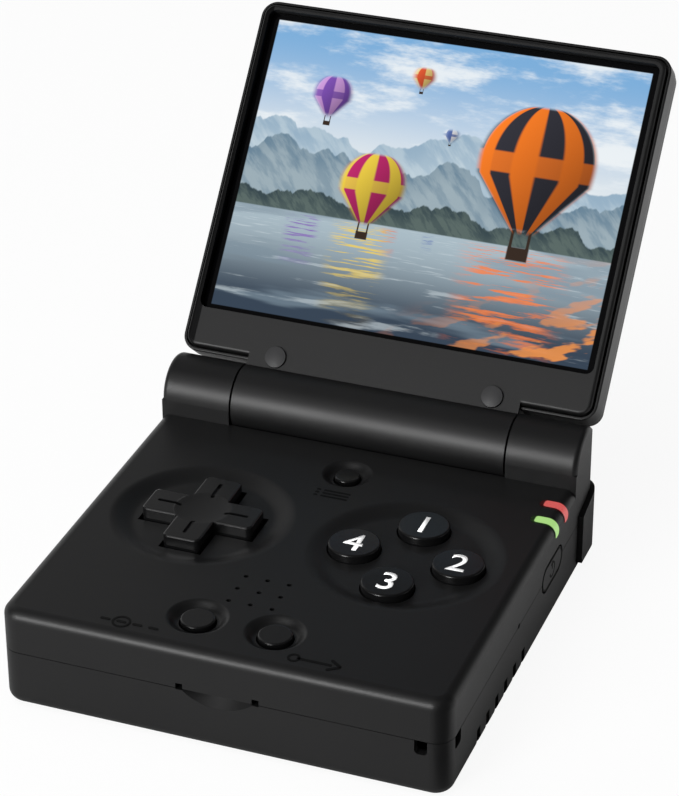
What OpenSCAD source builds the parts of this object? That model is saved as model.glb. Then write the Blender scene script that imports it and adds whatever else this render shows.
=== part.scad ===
// Clamshell handheld game console: a base with the controls, a lid with the screen, and a
// barrel hinge between them. Millimetres; X to the right, Y to the rear, Z up, and the
// origin at the centre of the underside. The lid is drawn in its own axes (x across,
// y away from the hinge, z out of the screen) and placed by lid_place().

/* [Base] */
// Width of the base, side to side
body_w = 83; // [78:1:90]
// Depth of the base, front to rear
body_d = 85; // [82:1:92]
// Height of the base without the hinge knuckles
base_h = 19.7; // [19.3:0.1:21]
// Radius of the upright corners
corner_r = 3.5; // [3.2:0.1:5]
// Radius of the edge round the top face
top_edge_r = 2; // [1:0.1:2.4]
// Radius of the edge round the underside
bottom_edge_r = 2.2; // [1.8:0.1:2.6]
// Thickness of the side walls
wall = 1.6; // [1.4:0.1:2]
// Thickness of the top face
top_t = 1.8; // [1.5:0.1:2.2]
// Thickness of the floor
floor_t = 1.6; // [1.4:0.1:2]
// Height of the parting line between the two halves of the base
seam_z = 11.3; // [11:0.1:11.7]

/* [Hinge] */
// Radius of the hinge barrel and of its knuckles
barrel_r = 6.4; // [6:0.1:7]
// Height of the hinge axis over the top face of the base
hinge_rise = 3; // [2.8:0.1:3.8]
// Width of each end knuckle
knuckle_w = 13.8; // [12:0.1:16]
// Gap between the barrel and the knuckles beside it
knuckle_gap = 0.4; // [0.3:0.05:0.6]
// Gap between the barrel and the saddle that it turns in
saddle_gap = 0.4; // [0.3:0.05:0.6]
// Lean of the open lid, measured back from level
lid_lean = 49.7; // [30:0.1:90]
// Radius of the hollow pin in the left knuckle
sleeve_r = 2.6; // [2.2:0.1:3]
// Radius of the friction cartridge in the right knuckle
cartridge_r = 3.4; // [3:0.1:4]
// Radius of the shaft of the friction cartridge
shaft_r = 1.5; // [1.2:0.1:1.8]
// Radial running clearance of the hinge pins
run_fit = 0.05; // [0.02:0.01:0.1]

/* [Lid] */
// Thickness of the lid
lid_t = 8.5; // [8:0.1:10]
// Distance of the lid's inner face from the hinge axis
lid_face = 2.3; // [2:0.05:2.6]
// How far the lid stands past the base at the sides
lid_over = 0.15; // [0:0.05:1]
// How far its front edge stands past the base when closed
lid_front = -0.1; // [-0.5:0.1:1]
// Radius of the lid's corners
lid_corner_r = 3.2; // [3.1:0.1:4]
// Distance of the lid's lower edge from the hinge axis
lid_low = 7; // [6.9:0.1:8]
// Radius of the edge round the back of the lid
lid_back_r = 3; // [1.5:0.1:3]
// How far the rim of the back shell lies below the bezel's face
rim_drop = 1; // [0.6:0.1:1.5]
// Thickness of the rim of the back shell round the bezel
rim_t = 0.5; // [0.4:0.1:0.8]
// Groove between the rim and the bezel
rim_gap = 0.4; // [0.3:0.05:0.45]
// Width of the raised bezel round the screen
bezel_t = 1.1; // [0.8:0.1:1.3]
// Radius of the bezel's outer edge
bezel_edge_r = 0.7; // [0.4:0.1:0.9]
// Thickness of the lid's back
lid_back_t = 1.4; // [1.2:0.1:1.8]
// Depth of the screen below the bezel's face
screen_depth = 2; // [1.8:0.1:2.2]
// Thickness of the cover glass
glass_t = 0.7; // [0.5:0.1:1]
// Thickness of the display panel
panel_t = 2.6; // [2:0.1:2.8]
// Height of the chin below the screen
chin_h = 7.7; // [6.5:0.1:9]
// Radius of the rubber rest pads
pad_r = 2.05; // [1.6:0.05:2.4]
// Distance of each rest pad from the middle
pad_x = 21.8; // [18:0.1:24]
// Height of the pads over the bezel's face
pad_rise = 0.5; // [0.3:0.05:0.6]

/* [Controls] */
// Place of the direction pad and the action buttons, front to rear
control_y = -1.5; // [-4:0.1:-1]
// Distance of the direction pad from the left side
dpad_in = 21.6; // [21.3:0.1:22.1]
// Span of the direction pad
dpad_span = 21.5; // [20:0.1:22]
// Width of the arms of the direction pad
dpad_arm = 7.2; // [6:0.1:8]
// Height of the direction pad over the top face
dpad_rise = 1.3; // [1:0.1:1.6]
// Tilt of the direction pad each way
dpad_tilt = 4; // [3:0.5:4]
// Radius of the shallow dish round the direction pad
dpad_dish_r = 17.3; // [16:0.1:18]
// Distance of the action buttons' centre from the right side
action_in = 22.2; // [21.6:0.1:22.6]
// Distance between opposite action buttons
action_pitch = 19.7; // [18:0.1:20.5]
// Diameter of the action buttons
action_d = 9.5; // [8:0.1:9.8]
// Height of the action buttons over the top face
action_rise = 0.5; // [0.2:0.1:0.7]
// Radius of the shallow dish round the action buttons
action_dish_r = 18.3; // [17:0.1:18.6]
// Depth of both dishes
dish_depth = 1.1; // [0.6:0.1:1.2]
// Width of the soft lip of both dishes
dish_lip = 4.8; // [3:0.1:5]
// Offset of the group by the front edge from the middle
front_x = -0.7; // [-1:0.1:0]
// Offset of the finger scoop and its two slots from the middle
notch_x = -0.4; // [-1:0.1:0]
// Distance of the select and start buttons from the front
select_in = 10; // [9.6:0.1:11]
// Distance of the select and start buttons from their middle
select_off = 7.2; // [6.8:0.1:8]
// Diameter of the select and start buttons
select_d = 6.2; // [5:0.1:6.6]
// Distance of the menu button from the rear
menu_in = 21.6; // [21:0.1:22.2]
// Diameter of the menu button
menu_d = 4.8; // [4:0.1:5]
// Width of the bowl left round each small button
bowl_w = 2.5; // [2:0.1:2.6]
// Depth of those bowls
bowl_depth = 1.3; // [1:0.1:1.4]
// How far the small buttons' tops lie below the top face
small_sink = 0.3; // [0.1:0.1:0.5]
// Gap round every button
button_gap = 0.25; // [0.2:0.05:0.35]
// Pitch of the sound holes
sound_pitch = 4.07; // [3:0.01:4.5]
// Distance of the sound holes' centre from the front
sound_in = 20.5; // [20:0.1:21]
// Length of the power button
power_l = 11.8; // [9:0.1:13]
// Height of the power button
power_h = 4.8; // [4:0.1:5.2]
// Distance of the power button from the rear
power_in = 26.7; // [24:0.1:30]
// Height of the side keys' middle over the underside
key_z = 11.1; // [10.9:0.1:11.3]

/* [Shoulder buttons] */
// How far the shoulder buttons stand proud
trigger_rise = 0.9; // [0.4:0.1:1]
// Thickness of their skins
trigger_t = 1.9; // [1.6:0.1:2.2]
// Length of the outer button along the side
trigger_side = 9.8; // [8.4:0.1:10.6]
// Distance of their upper edge below the floor of the hinge saddle
trigger_drop = 1.2; // [1.2:0.1:3]
// Fall of that edge towards the front
trigger_step = 2.2; // [1.8:0.1:2.8]
// Height of its lower edge
trigger_foot = 2.3; // [1.9:0.1:3]
// Width of the outer buttons
outer_l = 13.6; // [12:0.1:15]
// Width of the inner buttons
inner_l = 11.8; // [10:0.1:12.4]
// Gap in front of the outer button, which closes as it is pressed
trigger_gap = 0.9; // [0.8:0.05:1.2]
// Radius of the pivot pins
pivot_r = 0.8; // [0.6:0.05:1]

/* [Inside] */
// Depth of the circuit board's upper face below the top face of the base
board_drop = 6.6; // [6.4:0.1:6.8]
// Thickness of the circuit board
board_t = 1.2; // [1:0.1:1.6]
// Width of the battery
battery_w = 54; // [44:1:56]
// Depth of the battery
battery_d = 44; // [36:1:46]
// Thickness of the battery
battery_t = 5.6; // [4:0.1:6]
// Thickness of the battery cover
cover_t = 1.4; // [1.2:0.1:1.6]
// Radius of the sound driver
driver_r = 7.2; // [6:0.1:7.5]
// Radius of the audio socket's bore
jack_r = 1.8; // [1.75:0.05:1.85]
// Distance of the two rear sockets from the middle
socket_x = 7; // [6.5:0.1:8]

/* [Hidden] */
$fn = 64;
eps = 0.01;
far = 200;

// Base
half_w = body_w / 2;
half_d = body_d / 2;
inner_w = body_w - 2 * wall;
inner_d = body_d - 2 * wall;
inner_r = corner_r - wall;
ceiling_z = base_h - top_t;
seam_gap = 0.12;
tongue_h = 1.1;
tongue_t = 0.75;
fit_gap = 0.05;
board_z = base_h - board_drop;
board_gap = 0.4;
key_notch = 3.5;

// Hinge
hinge_z = base_h + hinge_rise;
hinge_y = half_d - barrel_r;
knuckle_x = half_w - knuckle_w;
knuckle_edge_r = 1;
barrel_l = 2 * (knuckle_x - knuckle_gap);
saddle_r = barrel_r + saddle_gap;
saddle_wall = 1.3;
saddle_floor = hinge_z - saddle_r;
cartridge_l = 11.6;
sleeve_l = 4.6;
chase_l = 9.6;
sleeve_in = 8.4;
sleeve_bore = 0.8;
head_l = 8;
head_r = 2.4;

// Lid, in its own axes
lid_half_w = half_w + lid_over;
lid_top = half_d + hinge_y + lid_front;
lid_back = lid_face - lid_t;
lid_back_edge = min(lid_back_r, lid_corner_r - 0.1);
lid_floor = lid_back + lid_back_t;
rim_z = lid_face - rim_drop;
bezel_in = rim_t + rim_gap;
bezel_half_w = lid_half_w - bezel_in;
bezel_low = lid_low + bezel_in;
bezel_top = lid_top - bezel_in;
window_half_w = bezel_half_w - bezel_t;
window_low = bezel_low + chin_h;
window_top = bezel_top - bezel_t;
glass_z = lid_face - screen_depth;
panel_z = glass_z - glass_t;
ledge_z = panel_z;
ribbon_w = 5;
ribbon_t = 0.3;
ribbon_z = panel_z - panel_t;
ribbon_up = 6;
ribbon_x = sleeve_in + 2 - barrel_l / 2;
stack_gap = 0.1;
neck_back = -2.4;
fairing_low = 3;
pad_y = 8.24;
pad_sink = 0.5;

// Controls
dpad_x = half_w - dpad_in;
action_x = half_w - action_in;
select_y = select_in - half_d;
menu_y = half_d - menu_in;
sound_y = sound_in - half_d;
reset_y = control_y - 2.7;
button_flange_t = 0.9;
plate_t = 1.5;
dish_floor = base_h - dish_depth;
plate_under = dish_floor - plate_t;
bowl_floor = base_h - bowl_depth;
bowl_under = bowl_floor - 1.4;
flange_gap = 0.05;
dpad_flange_r = dpad_span / 2 + 1.4;
dpad_flange_top = plate_under - 1.3;
dpad_flange_low = dpad_flange_top - button_flange_t;
dpad_hole_gap = 0.5;
side_key_gap = 0.4;
dpad_mark_in = 4.2;
dpad_mark_l = 4.7;
dpad_mark_w = 0.75;
dpad_mark_t = 0.5;
ball_r = 2;
sheet_t = 0.6;
action_r = action_d / 2;
action_flange_w = 0.9;
small_flange_w = 0.8;
menu_x = -0.2;
front_mat_w = 8;
sound_hole_r = 0.45;

// Side keys and card slot
side_flange = 0.9;
side_stem = 0.5;
flange_over = 0.8;
power_y = half_d - power_in;
rocker_y = half_d - 32;
rocker_l = 14;
rocker_h = 3.2;
rocker_rise = 0.6;
rocker_pin_r = 0.4;
rocker_pin_l = 0.9;
rocker_pin_x = half_w - wall - side_stem - side_flange / 2;
lug_w = 2.8;
lug_h = 1.1;
lug_l = 1.8;
lug_low = rocker_h / 2 + flange_over + 0.3;
side_switch_in = 4.6;
side_switch_t = 2.8;
side_switch_w = 6;
side_switch_h = 3.2;
side_switch_z = board_z - board_t - side_switch_h / 2;
rocker_switch_w = 4;
card_y = 30.5 - half_d;
card_w = 12;
card_frame = 1;
card_deep = 15.6;
card_h = 1.2;
card_t = 2.9;
card_z = board_z - board_t - 1.8;

// Shoulder buttons
trigger_front = half_d - trigger_side;
trigger_top = saddle_floor - trigger_drop;
trigger_low = trigger_top - trigger_step;
trigger_split = half_w - outer_l;
trigger_inner = trigger_split - inner_l;
trigger_play = 0.35;
trigger_reach = 1.1;
pocket_w = body_w - 8;
pocket_d = body_d - 5.2;
pivot_in = 2;
pivot_wall = 0.9;
pivot_y = half_d - 4.6;
pivot_floor = 0.7;
pivot_top = saddle_floor - 0.5;
shoulder_board_t = 1;
shoulder_board_in = 4;
trigger_board_y = pivot_y - 2.2;
switch_w = 6;
switch_h = 4;
switch_deep = 3.2;
switch_z = 7;
SWITCH_X = [half_w - 5.2, trigger_split - 3.4];
trigger_face_y = half_d + trigger_rise - trigger_t;
board_front_y = wall + 1.7 - half_d;
board_rear_y = trigger_board_y - shoulder_board_t - 5.9;
tab_half_w = trigger_inner - 1.7;
tab_y = half_d - wall - board_gap;
pivot_low = trigger_foot;
pivot_high = trigger_top - 0.8;

// Sockets at the rear
socket_face = half_d - 0.5;
usb_w = 8.94;
usb_h = 3.26;
usb_l = 7.3;
usb_z = board_z - board_t - usb_h / 2 - flange_gap;
jack_body = 5.4;
jack_l = 12;
jack_w = 6;
jack_nose = 1.4;
jack_z = board_z - board_t - jack_body / 2 - flange_gap;

// Battery bay and its cover
bay_y = -5;
bay_gap = 0.4;
bay_w = battery_w + 2 * bay_gap;
bay_d = battery_d + 2 * bay_gap;
cover_lip = 1.8;
cover_tail = 4.6;
cover_gap = 0.15;
shelf_t = 1.5;

// Screws, by their distances from the side and the front or rear
SCREW_FRONT = [12, 5.2];
SCREW_REAR = [7.4, 15.8];
screw_bite = 1.65;
screw_r = 0.95;
screw_head_r = 1.8;
screw_head_t = 1.3;
screw_seat = 2.55;
boss_r = 2.5;
SCREWS = [for (s = [-1, 1]) each [
    [s * (half_w - SCREW_FRONT[0]), SCREW_FRONT[1] - half_d],
    [s * (half_w - SCREW_REAR[0]), half_d - SCREW_REAR[1]]
]];
case_screw_l = board_z + screw_bite - screw_seat + screw_head_t;
cover_screw_y = bay_y + bay_d / 2 + 2.6;

// Lamps, vents, notch and strap hole
led_w = 2.5;
led_rise = 0.12;
led_red_y = half_d - 18.9;
led_green_y = half_d - 24.6;
led_in = 5;
led_down = 3;
led_depth = 1.5;
vent_pitch = 5.05;
vent_first_y = 16.1 - half_d;
vent_count = 6;
vent_w = 1.8;
vent_h = 4.4;
vent_in = 3.6;
notch_l = 14.1;
notch_hole = 1.3;
notch_up = 0.3;
notch_depth = 2.4;
scoop_r = 10.2;
scoop_drop = 2.7;
scoop_back = 8;
scoop_wall = 3.9;
scoop_half_w = 9;
strap_w = 2.3;
strap_h = 2.8;
strap_post = 3.9;
strap_step = 0.7;
strap_corner_r = 0.7;
strap_depth = 3;

// ---- shapes used by several parts ----

// Right half of an upright section with rounded outer corners.
module half_section(half, h, top_r, low_r) {
    intersection() {
        union() {
            translate([0, low_r]) square([half, h - low_r - top_r]);
            square([half - low_r, h - top_r]);
            square([half - top_r, h]);
            if (low_r > 0) translate([half - low_r, low_r]) circle(low_r);
            if (top_r > 0) translate([half - top_r, h - top_r]) circle(top_r);
        }
        square([half, h]);
    }
}

module section(half, h, top_r, low_r) {
    half_section(half, h, top_r, low_r);
    mirror([1, 0]) half_section(half, h, top_r, low_r);
}

// Block with rounded upright corners and rounded upper and lower edges.
module slab(w, d, h, r, top_r = 0, low_r = 0) {
    rotate([90, 0, 90]) linear_extrude(w - 2 * r, center = true) section(d / 2, h, top_r, low_r);
    rotate([90, 0, 0]) linear_extrude(d - 2 * r, center = true) section(w / 2, h, top_r, low_r);
    for (sx = [-1, 1], sy = [-1, 1])
        translate([sx * (w / 2 - r), sy * (d / 2 - r), 0])
            rotate_extrude() half_section(r, h, top_r, low_r);
}

module rounded_rect(w, d, r) {
    square([w - 2 * r, d], center = true);
    square([w, d - 2 * r], center = true);
    for (sx = [-1, 1], sy = [-1, 1])
        translate([sx * (w / 2 - r), sy * (d / 2 - r)]) circle(r);
}

// Flat bar with round ends, centred, along X.
module stadium(l, h) {
    square([l - h, h], center = true);
    for (s = [-1, 1]) translate([s * (l - h) / 2, 0]) circle(h / 2);
}

// Box between two corners.
module span_box(low, high) {
    translate(low) cube(high - low);
}

module along_x(x0, x1, r) {
    translate([x0, 0, 0]) rotate([0, 90, 0]) cylinder(r = r, h = x1 - x0);
}

module at_hinge() {
    translate([0, hinge_y, hinge_z]) children();
}

module lid_place() {
    at_hinge() rotate([lid_lean, 0, 0]) children();
}

// Moves a shape drawn in the XY plane onto the right-hand side wall.
module on_side(y, z, x) {
    translate([x, y, z]) rotate([90, 0, 90]) children();
}

// Cutter for a shallow round dish whose lip runs out in a soft curve.
module dish_cut(r, lip, depth) {
    steps = 12;
    rotate_extrude()
        polygon(concat(
            [[0, -depth], [r - lip, -depth]],
            [for (i = [1 : steps]) [r - lip + lip * i / steps, -depth * (1 + cos(180 * i / steps)) / 2]],
            [[r, 1], [0, 1]]
        ));
}

// ---- base ----

module body_block() {
    slab(body_w, body_d, base_h, corner_r, top_edge_r, bottom_edge_r);
}

module cross_2d(span, arm, gap) {
    square([span + 2 * gap, arm + 2 * gap], center = true);
    square([arm + 2 * gap, span + 2 * gap], center = true);
}

function action_place(i) = [
    action_x + action_pitch / 2 * sin(90 * i),
    control_y + action_pitch / 2 * cos(90 * i)
];

SMALL_BUTTONS = [
    [front_x - select_off, select_y, select_d / 2],
    [front_x + select_off, select_y, select_d / 2],
    [menu_x, menu_y, menu_d / 2]
];

// End knuckle of the hinge on the right: it stands on the base with an upright front.
module knuckle() {
    intersection() {
        union() {
            at_hinge() translate([knuckle_x, 0, 0]) rotate([0, 90, 0])
                rotate_extrude() half_section(barrel_r, knuckle_w, knuckle_edge_r, 0);
            span_box([knuckle_x, hinge_y - barrel_r, seam_z + 4], [half_w, half_d, hinge_z]);
        }
        linear_extrude(far) rounded_rect(body_w, body_d, corner_r);
    }
}

// Lug with a bearing hole for a pin of the volume rocker.
module rocker_lug(z) {
    difference() {
        span_box([-half_w, rocker_y - lug_w / 2, z], [wall + lug_l - half_w, rocker_y + lug_w / 2, z + lug_h]);
        translate([-rocker_pin_x, rocker_y, -1]) cylinder(r = rocker_pin_r + run_fit, h = far, $fn = 24);
    }
}

// Solid left inside the upper half: plates under the dishes, bosses, saddle and knuckle roots.
module top_inner_solids() {
    rocker_lug(key_z + lug_low);
    translate([-dpad_x, control_y, plate_under]) cylinder(r = dpad_dish_r, h = far);
    translate([action_x, control_y, plate_under]) cylinder(r = action_dish_r, h = far);
    for (b = SMALL_BUTTONS) translate([b[0], b[1], bowl_under]) cylinder(r = b[2] + bowl_w, h = far);
    for (p = SCREWS) translate([p[0], p[1], board_z]) cylinder(r = boss_r, h = far);
    at_hinge() along_x(-half_w, half_w, saddle_r + saddle_wall);
    span_box([-half_w, hinge_y, saddle_floor - saddle_wall], [half_w, half_d, far]);
}

module saddle_cut() {
    at_hinge() along_x(-knuckle_x, knuckle_x, saddle_r);
    span_box([-knuckle_x, hinge_y, saddle_floor], [knuckle_x, half_d + 1, far]);
    span_box([-knuckle_x, hinge_y - saddle_r, hinge_z], [knuckle_x, half_d + 1, far]);
}

module control_cuts() {
    translate([-dpad_x, control_y, base_h]) dish_cut(dpad_dish_r, dish_lip, dish_depth);
    translate([action_x, control_y, base_h]) dish_cut(action_dish_r, dish_lip, dish_depth);
    translate([-dpad_x, control_y, 0]) linear_extrude(far) cross_2d(dpad_span, dpad_arm, dpad_hole_gap);
    for (i = [0 : 3]) translate(action_place(i)) cylinder(r = action_r + button_gap, h = far);
    for (b = SMALL_BUTTONS) translate([b[0], b[1], 0]) {
        translate([0, 0, base_h]) dish_cut(b[2] + bowl_w, bowl_w - 0.5, bowl_depth);
        cylinder(r = b[2] + button_gap, h = far);
    }
    for (i = [-1 : 1], j = [-1 : 1])
        translate([front_x + i * sound_pitch, sound_y + j * sound_pitch, board_z])
            cylinder(r = sound_hole_r, h = far, $fn = 24);
}

// Everything that breaks through the side walls, cut from both halves alike.
module side_cuts() {
    on_side(power_y, key_z, half_w - 5) linear_extrude(10) stadium(power_l + 2 * side_key_gap, power_h + 2 * side_key_gap);
    mirror([1, 0, 0]) on_side(rocker_y, key_z, half_w - 5)
        linear_extrude(10) stadium(rocker_l + 2 * side_key_gap, rocker_h + 2 * side_key_gap);
    mirror([1, 0, 0]) on_side(card_y, card_z, half_w - 5)
        linear_extrude(10) square([card_w + 0.6, card_h + 0.4], center = true);
    on_side(reset_y, seam_z, half_w - 4) linear_extrude(10) circle(0.5);
    translate([-socket_x, half_d - 4, usb_z]) rotate([-90, 0, 0])
        linear_extrude(10) stadium(usb_w + 0.5, usb_h + 0.5);
    translate([socket_x, half_d - 4, jack_z]) rotate([-90, 0, 0])
        cylinder(r = jack_body / 2 + 0.3, h = 10);
    for (s = [0, 1]) mirror([s, 0, 0]) trigger_pocket();
    strap_cut();
    for (s = [-1, 1])
        translate([notch_x + s * notch_l / 2, -half_d, seam_z + notch_up])
            cube([notch_hole, 2 * notch_depth, notch_hole], center = true);
}

// Opening with rounded lower corners that ends at the parting line.
module strap_opening(w) {
    intersection() {
        translate([w / 2, strap_h]) rounded_rect(w, 2 * strap_h, strap_corner_r);
        square([w, strap_h]);
    }
}

// Tunnel for a wrist strap round a post at the front right corner.
module strap_cut() {
    translate([half_w - strap_post - strap_w, strap_post + strap_depth - half_d, seam_z - strap_h])
        rotate([90, 0, 0]) linear_extrude(strap_post + strap_depth + 1) strap_opening(strap_w);
    on_side(strap_post - strap_step - half_d, seam_z - strap_h, half_w - strap_post - strap_w)
        linear_extrude(strap_post + strap_w + 1) strap_opening(strap_depth);
}

module vent_cuts() {
    for (i = [0 : vent_count - 1])
        translate([half_w - vent_in, vent_first_y + i * vent_pitch, -1])
            translate([0, -vent_w / 2, 0]) cube([vent_in + 1, vent_w, vent_h + 1]);
}

// Bent light guide that follows the rounded top edge on the right.
module led_guide(y) {
    intersection() {
        difference() {
            translate([0, 0, -led_rise])
                slab(body_w + 2 * led_rise, body_d + 2 * led_rise, base_h + 2 * led_rise,
                    corner_r + led_rise, top_edge_r + led_rise);
            translate([0, 0, -led_rise])
                slab(body_w - 2 * led_depth, body_d - 2 * led_depth, base_h + led_rise - led_depth,
                    corner_r - led_depth);
        }
        led_region(y, led_w, 0);
    }
}

// Space of one light guide: a strip with a round end on the top face and on the side.
module led_region(y, w, gap) {
    r = w / 2 + gap;
    intersection() {
        on_side(y, base_h - led_down + w / 2, half_w - led_in - 1) linear_extrude(led_in + 3) {
            circle(r);
            translate([-r, 0]) square([2 * r, led_down + 2]);
        }
        translate([half_w - led_in + w / 2, y, 0]) linear_extrude(far) {
            circle(r);
            translate([0, -r]) square([led_in + 2, 2 * r]);
        }
    }
}

module led_cuts() {
    for (y = [led_red_y, led_green_y]) intersection() {
        body_block();
        difference() {
            led_region(y, led_w, fit_gap);
            translate([0, 0, -1]) slab(body_w - 2 * led_depth - 0.1, body_d, base_h + 1 - led_depth, inner_r);
        }
    }
}

module base_top_shell() {
    color("#2b2c2e") difference() {
        union() {
            intersection() {
                body_block();
                span_box([-far, -far, seam_z], [far, far, far]);
            }
            for (s = [0, 1]) mirror([s, 0, 0]) knuckle();
        }
        difference() {
            translate([0, 0, -1]) slab(inner_w, inner_d, ceiling_z + 1, inner_r, 0.6);
            top_inner_solids();
        }
        translate([0, 0, -1]) linear_extrude(seam_z + tongue_h + 2 * fit_gap + 1)
            rounded_rect(body_w - 2 * (wall - tongue_t - fit_gap), body_d - 2 * (wall - tongue_t - fit_gap),
                corner_r - wall + tongue_t + fit_gap);
        saddle_cut();
        control_cuts();
        side_cuts();
        led_cuts();
        at_hinge() {
            along_x(knuckle_x - 1, knuckle_x + cartridge_l, cartridge_r + 0.02);
            along_x(-knuckle_x - sleeve_l, -knuckle_x + 1, sleeve_r + 0.02);
            along_x(-knuckle_x - chase_l, -knuckle_x - sleeve_l, sleeve_r - sleeve_bore);
            span_box([-knuckle_x - chase_l, sleeve_bore - sleeve_r, -far],
                [-knuckle_x - sleeve_l, sleeve_r - sleeve_bore, 0]);
        }
        for (p = SCREWS) translate([p[0], p[1], board_z - 1]) cylinder(r = screw_r - 0.1, h = 4.4, $fn = 24);
        for (s = [-1, 1], x = [trigger_split + pivot_in, trigger_inner + pivot_in])
            translate([s * x, pivot_y, 0]) cylinder(r = pivot_r + 0.02, h = pivot_top, $fn = 32);
    }
}

module bottom_inner_solids() {
    rocker_lug(key_z - lug_low - lug_h);
    for (p = SCREWS) translate([p[0], p[1], 0]) cylinder(r = boss_r + 0.4, h = board_z - board_t);
    difference() {
        translate([0, bay_y, 0]) linear_extrude(floor_t + 5) square([bay_w + 2.4, bay_d + 2.4], center = true);
        translate([0, bay_y, -1]) linear_extrude(far) square([bay_w, bay_d], center = true);
    }
    translate([-bay_w / 2 - cover_lip - 1.6, bay_y - bay_d / 2 - cover_lip - 1.6, 0])
        cube([bay_w + 2 * cover_lip + 3.2, bay_d + 2 * cover_lip + cover_tail + 1.8, cover_t + shelf_t]);
    translate([0, cover_screw_y, 0]) cylinder(r = 2.4, h = floor_t + 4.6);
    span_box([notch_x - scoop_half_w, -half_d, seam_z - 5], [notch_x + scoop_half_w, scoop_wall - half_d, far]);
    for (s = [-1, 1], x = [trigger_split + pivot_in, trigger_inner + pivot_in])
        translate([s * x, pivot_y, 0]) cylinder(r = pivot_r + 1, h = pivot_low - 0.1, $fn = 32);
}

module cover_2d(gap) {
    translate([0, bay_y + cover_tail / 2])
        rounded_rect(bay_w + 2 * cover_lip - 2 * gap, bay_d + cover_lip * 2 + cover_tail - 2 * gap - 1, 1.5);
}

module base_bottom_shell() {
    color("#2b2c2e") difference() {
        union() {
            intersection() {
                body_block();
                span_box([-far, -far, 0], [far, far, seam_z - seam_gap]);
            }
            translate([0, 0, seam_z - 3]) linear_extrude(tongue_h + 3)
                rounded_rect(body_w - 2 * (wall - tongue_t), body_d - 2 * (wall - tongue_t),
                    corner_r - wall + tongue_t);
        }
        difference() {
            translate([0, 0, floor_t]) slab(inner_w, inner_d, base_h, inner_r, 0, max(bottom_edge_r - wall, 0));
            bottom_inner_solids();
        }
        translate([0, bay_y, -1]) linear_extrude(far) square([bay_w, bay_d], center = true);
        translate([0, 0, -1]) linear_extrude(cover_t + 0.1 + 1) cover_2d(0);
        translate([0, cover_screw_y, -1]) cylinder(r = screw_r - 0.1, h = 6.2, $fn = 24);
        for (p = SCREWS) translate([p[0], p[1], 0]) {
            translate([0, 0, -1]) cylinder(r = screw_r + 0.2, h = far, $fn = 24);
            translate([0, 0, -1]) cylinder(r = screw_head_r + 0.25, h = 1 + screw_seat);
        }
        for (s = [-1, 1], x = [trigger_split + pivot_in, trigger_inner + pivot_in])
            translate([s * x, pivot_y, pivot_floor]) cylinder(r = pivot_r + 0.02, h = far, $fn = 32);
        side_cuts();
        vent_cuts();
        scoop_cut();
    }
}

// Finger scoop under the parting line at the front.
module scoop_cut() {
    ball = sqrt(scoop_r * scoop_r + scoop_back * scoop_back);
    intersection() {
        translate([notch_x, -half_d - scoop_back, seam_z - scoop_drop + scoop_r]) sphere(r = ball, $fn = 96);
        span_box([-far, -far, -1], [far, 0, seam_z]);
    }
}

module battery_cover() {
    color("#2b2c2e") difference() {
        linear_extrude(cover_t) cover_2d(cover_gap);
        translate([0, cover_screw_y, -1]) cylinder(r = screw_r + 0.15, h = far, $fn = 24);
        translate([0, cover_screw_y, -1]) cylinder(r = screw_head_r + 0.2, h = 1 + 0.8);
    }
}

module battery_pack() {
    color("#3d5a80") translate([0, bay_y, cover_t + 0.1])
        slab(battery_w, battery_d, battery_t, 2, 0.8, 0.8);
}

module mainboard() {
    color("#1f4d34") translate([0, 0, board_z - board_t]) linear_extrude(board_t) difference() {
        union() {
            translate([0, (board_front_y + board_rear_y) / 2])
                rounded_rect(inner_w - 2 * board_gap, board_rear_y - board_front_y, 1.5);
            translate([-tab_half_w, board_rear_y - 3]) square([2 * tab_half_w, tab_y - board_rear_y + 3]);
        }
        for (p = SCREWS) translate(p) circle(screw_r + 0.25, $fn = 24);
        translate([half_w, power_y]) square([2 * key_notch, power_l + 3], center = true);
        translate([-half_w, rocker_y]) square([2 * key_notch, rocker_l + 3], center = true);
        translate([notch_x, -half_d]) square([2 * scoop_half_w + 1, 2 * scoop_wall + 1], center = true);
    }
}

module usb_socket() {
    color("#b9bcc0") translate([-socket_x, socket_face - usb_l, usb_z]) rotate([-90, 0, 0]) {
        difference() {
            linear_extrude(usb_l) stadium(usb_w, usb_h);
            translate([0, 0, 1]) linear_extrude(usb_l) stadium(usb_w - 0.6, usb_h - 0.6);
        }
        translate([0, 0, 0.5]) linear_extrude(usb_l - 1.3) square([6.7, 0.7], center = true);
    }
}

module audio_socket() {
    color("#1b1b1c") translate([socket_x, socket_face - jack_l, jack_z]) rotate([-90, 0, 0]) difference() {
        union() {
            translate([-jack_w / 2, -jack_body / 2, 0]) cube([jack_w, jack_body, jack_l - jack_nose]);
            cylinder(r = jack_body / 2, h = jack_l);
        }
        translate([0, 0, -1]) cylinder(r = jack_r, h = jack_l + 2);
    }
}

module card_socket() {
    color("#c3c6c9") difference() {
        span_box([board_gap + wall - half_w, card_y - card_w / 2 - card_frame, board_z - board_t - card_t],
            [card_deep + 1.4 - half_w, card_y + card_w / 2 + card_frame, board_z - board_t]);
        span_box([-half_w, card_y - card_w / 2, card_z - card_h / 2],
            [card_deep - half_w, card_y + card_w / 2, card_z + card_h / 2]);
    }
}

module sound_driver() {
    color("#8d8f92") translate([front_x, sound_y, 0]) {
        translate([0, 0, ceiling_z - 1]) difference() {
            cylinder(r = driver_r, h = 1);
            translate([0, 0, 0.4]) cylinder(r = driver_r - 1, h = 1);
        }
        translate([0, 0, ceiling_z - 3]) cylinder(r = driver_r - 1.4, h = 2.2);
    }
}

module led_red_guide() {
    color("#ff8078") led_guide(led_red_y);
}

module led_green_guide() {
    color("#b4f0a0") led_guide(led_green_y);
}

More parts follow.
